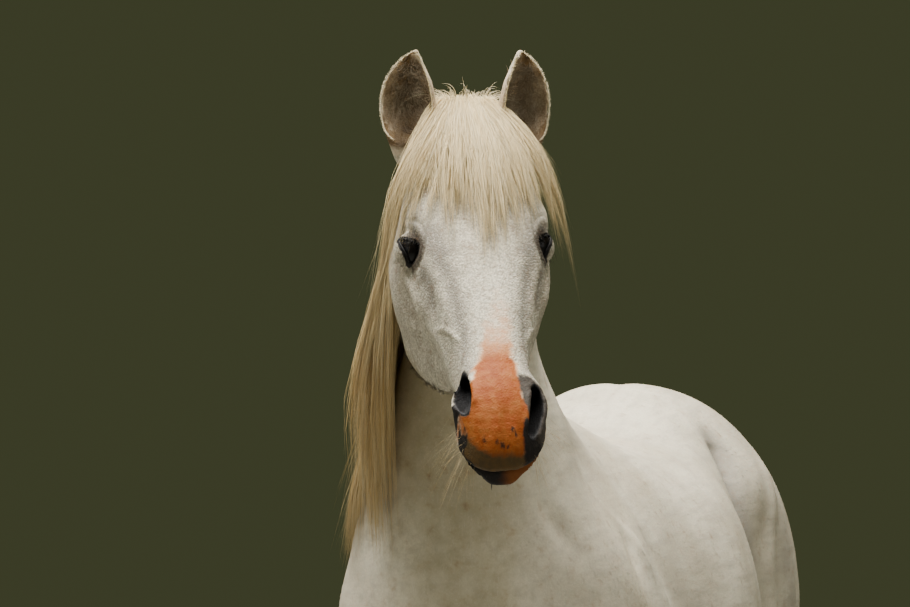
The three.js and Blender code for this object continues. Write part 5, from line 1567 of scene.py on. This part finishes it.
# ears: a pale fringe round the rims and brown hair across the cup
EAR_FRINGE, EAR_INNER = int(1300 * FEW), int(1200 * FEW)
EAR_HAIR_FACES = np.array([0.2, -1, 0.2])
for name, side in SIDES.items():
    row = draw(1.6, 8.6, EAR_FRINGE)
    rings = ear_rings(side, row)
    which = choose.integers(0, 2, EAR_FRINGE)
    k = np.arange(EAR_FRINGE)
    start = rings[k, which * 24]
    up = unit(ear_rings(side, row + 0.05)[k, which * 24] - start)
    away = unit(start - rings.mean(1))
    way = (away * draw(0.25, 1.0, (EAR_FRINGE, 1)) + up * draw(0.2, 1.2, (EAR_FRINGE, 1))
           + vary(0, 0.25, (EAR_FRINGE, 3)))
    s = np.linspace(0, 1, 4)[None, :, None]
    fringe = (start[:, None] - away[:, None] * 1.5
              + unit(way)[:, None] * s * draw(1.6, 4.4, (EAR_FRINGE, 1, 1)))
    coat_piece("ear_fringe_" + name, fringe, np.broadcast_to(EAR_HAIR_FACES, fringe.shape),
               draw(0.35, 0.7, EAR_FRINGE) / FEW**0.5, False, pale_hair)
    row = draw(1.0, 7.0, EAR_INNER)
    rings = ear_rings(side, row)
    inner = choose.integers(26, 47, EAR_INNER)
    k = np.arange(EAR_INNER)
    start = rings[k, inner]
    centre = (rings[:, 0] + rings[:, 24]) / 2
    up = unit(ear_rings(side, row + 0.05)[k, 0] - rings[k, 0])
    way = unit(centre - start) * 0.8 + up * draw(0.3, 1.4, (EAR_INNER, 1)) + vary(0, 0.3, (EAR_INNER, 3))
    across = start[:, None] + unit(way)[:, None] * s * draw(7, 19, (EAR_INNER, 1, 1))
    coat_piece("ear_inner_" + name, across, np.broadcast_to(EAR_HAIR_FACES, across.shape),
               draw(0.5, 0.9, EAR_INNER) / FEW**0.5, True)

# whiskers on muzzle and chin, and lashes on the upper lids
WHISKERS, LASHES = int(120 * FEW**0.5), int(60 * FEW**0.5)
at_side = smooth(np.abs(x), 33, 46)
places, out = grown_on(WHISKERS, smooth(u, 470, 540) * smooth(-v, 50, 90) * on_head * smooth(edge, 4, 10)
                       * at_side)
way = unit(out * 0.9 + np.array([0, 0.2, -0.7]) + vary(0, 0.25, places.shape))
s = np.linspace(0, 1, 6)[None, :, None]
long = draw(20, 74, (WHISKERS, 1, 1))
strands = places[:, None] - out[:, None] + way[:, None] * s * long + np.array([0, 0.1, -0.3]) * s**2 * long
coat_piece("whiskers", strands, np.broadcast_to(out[:, None], strands.shape), draw(0.25, 0.4, WHISKERS),
           False, long_hair)
for name, side in SIDES.items():
    line = lid_line(side, "upper", 200, 0.5)
    ab = line[choose.integers(16, 170, LASHES)]
    start = on_gaze(ab, np.sqrt((EYE_RADIUS + 2.2) ** 2 - (ab**2).sum(1)), side)
    gaze_way = on_gaze(np.zeros((1, 2)), 30.0, side)[0] - on_gaze(np.zeros((1, 2)), 0.0, side)[0]
    away = unit(start - from_head(mirrored(EYE_AT[side], side)))
    way = unit(away + unit(gaze_way) * 0.5 + np.array([0, -0.2, -0.5]) + vary(0, 0.15, start.shape))
    long = draw(9, 20, (LASHES, 1, 1))
    strands = start[:, None] + way[:, None] * s * long + np.array([0, 0, -0.25]) * s**2 * long
    coat_piece("lashes_" + name, strands, np.broadcast_to(away[:, None], strands.shape),
               draw(0.4, 0.6, LASHES), False, lid_rim)


# ---- floor, light and camera -----------------------------------------------------------------------------
# A plain floor, a wide soft lamp overhead, a weak one in front and another at the side, and a dim sky. The
# camera stands about nine metres off with a long lens, at the height of the horse's face.
floor_mesh = bpy.data.meshes.new("floor")
floor_mesh.from_pydata([(-6, -6, 0), (6, -6, 0), (6, 6, 0), (-6, 6, 0)], [], [(0, 1, 2, 3)])
floor = bpy.data.objects.new("floor", floor_mesh)
bpy.context.scene.collection.objects.link(floor)
floor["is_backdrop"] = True
GROUND_COLOUR, SKY_COLOUR = (0.34, 0.34, 0.31, 1), (0.05, 0.055, 0.026, 1)
ground, surface, _ = material("ground", Specular_IOR_Level=0.2, Roughness=0.9)
surface.inputs["Base Color"].default_value = GROUND_COLOUR
floor_mesh.materials.append(ground)

LIGHTS = [  # name, place, size, watts and colour
    ("overhead", (-0.5, -0.5, 5.0), 3.4, 592, (1.0, 0.98, 0.95)),
    ("front", (-3.6, -6.5, 3.4), 3.0, 34, (0.97, 0.98, 1.0)),
    ("side", (5.5, -3.5, 3.2), 3.0, 45, (1.0, 0.99, 0.96)),
]
for name, place, size, watts, colour in LIGHTS:
    lamp = bpy.data.lights.new(name, "AREA")
    lamp.size, lamp.energy, lamp.color = size, watts, colour
    light = bpy.data.objects.new(name, lamp)
    light.location = place
    light.rotation_euler = (Vector((0, -0.4, 1.2)) - Vector(place)).to_track_quat("-Z", "Y").to_euler()
    bpy.context.scene.collection.objects.link(light)

world = bpy.data.worlds.new("surroundings")
world.use_nodes = True
world.node_tree.nodes["Background"].inputs["Color"].default_value = SKY_COLOUR
world.node_tree.nodes["Background"].inputs["Strength"].default_value = 1.0
bpy.context.scene.world = world

LENS, SENSOR = 245.6, 36.0
CAMERA_TURN = np.radians(11.4)
lens = bpy.data.cameras.new("camera")
lens.lens, lens.sensor_width = LENS, SENSOR
camera = bpy.data.objects.new("camera", lens)
camera.location = placed(np.array([1620, -8888, 1630.0]))
camera.rotation_euler = (np.pi / 2, 0, CAMERA_TURN)
bpy.context.scene.collection.objects.link(camera)
bpy.context.scene.camera = camera

seen_box = [list(corner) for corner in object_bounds()]
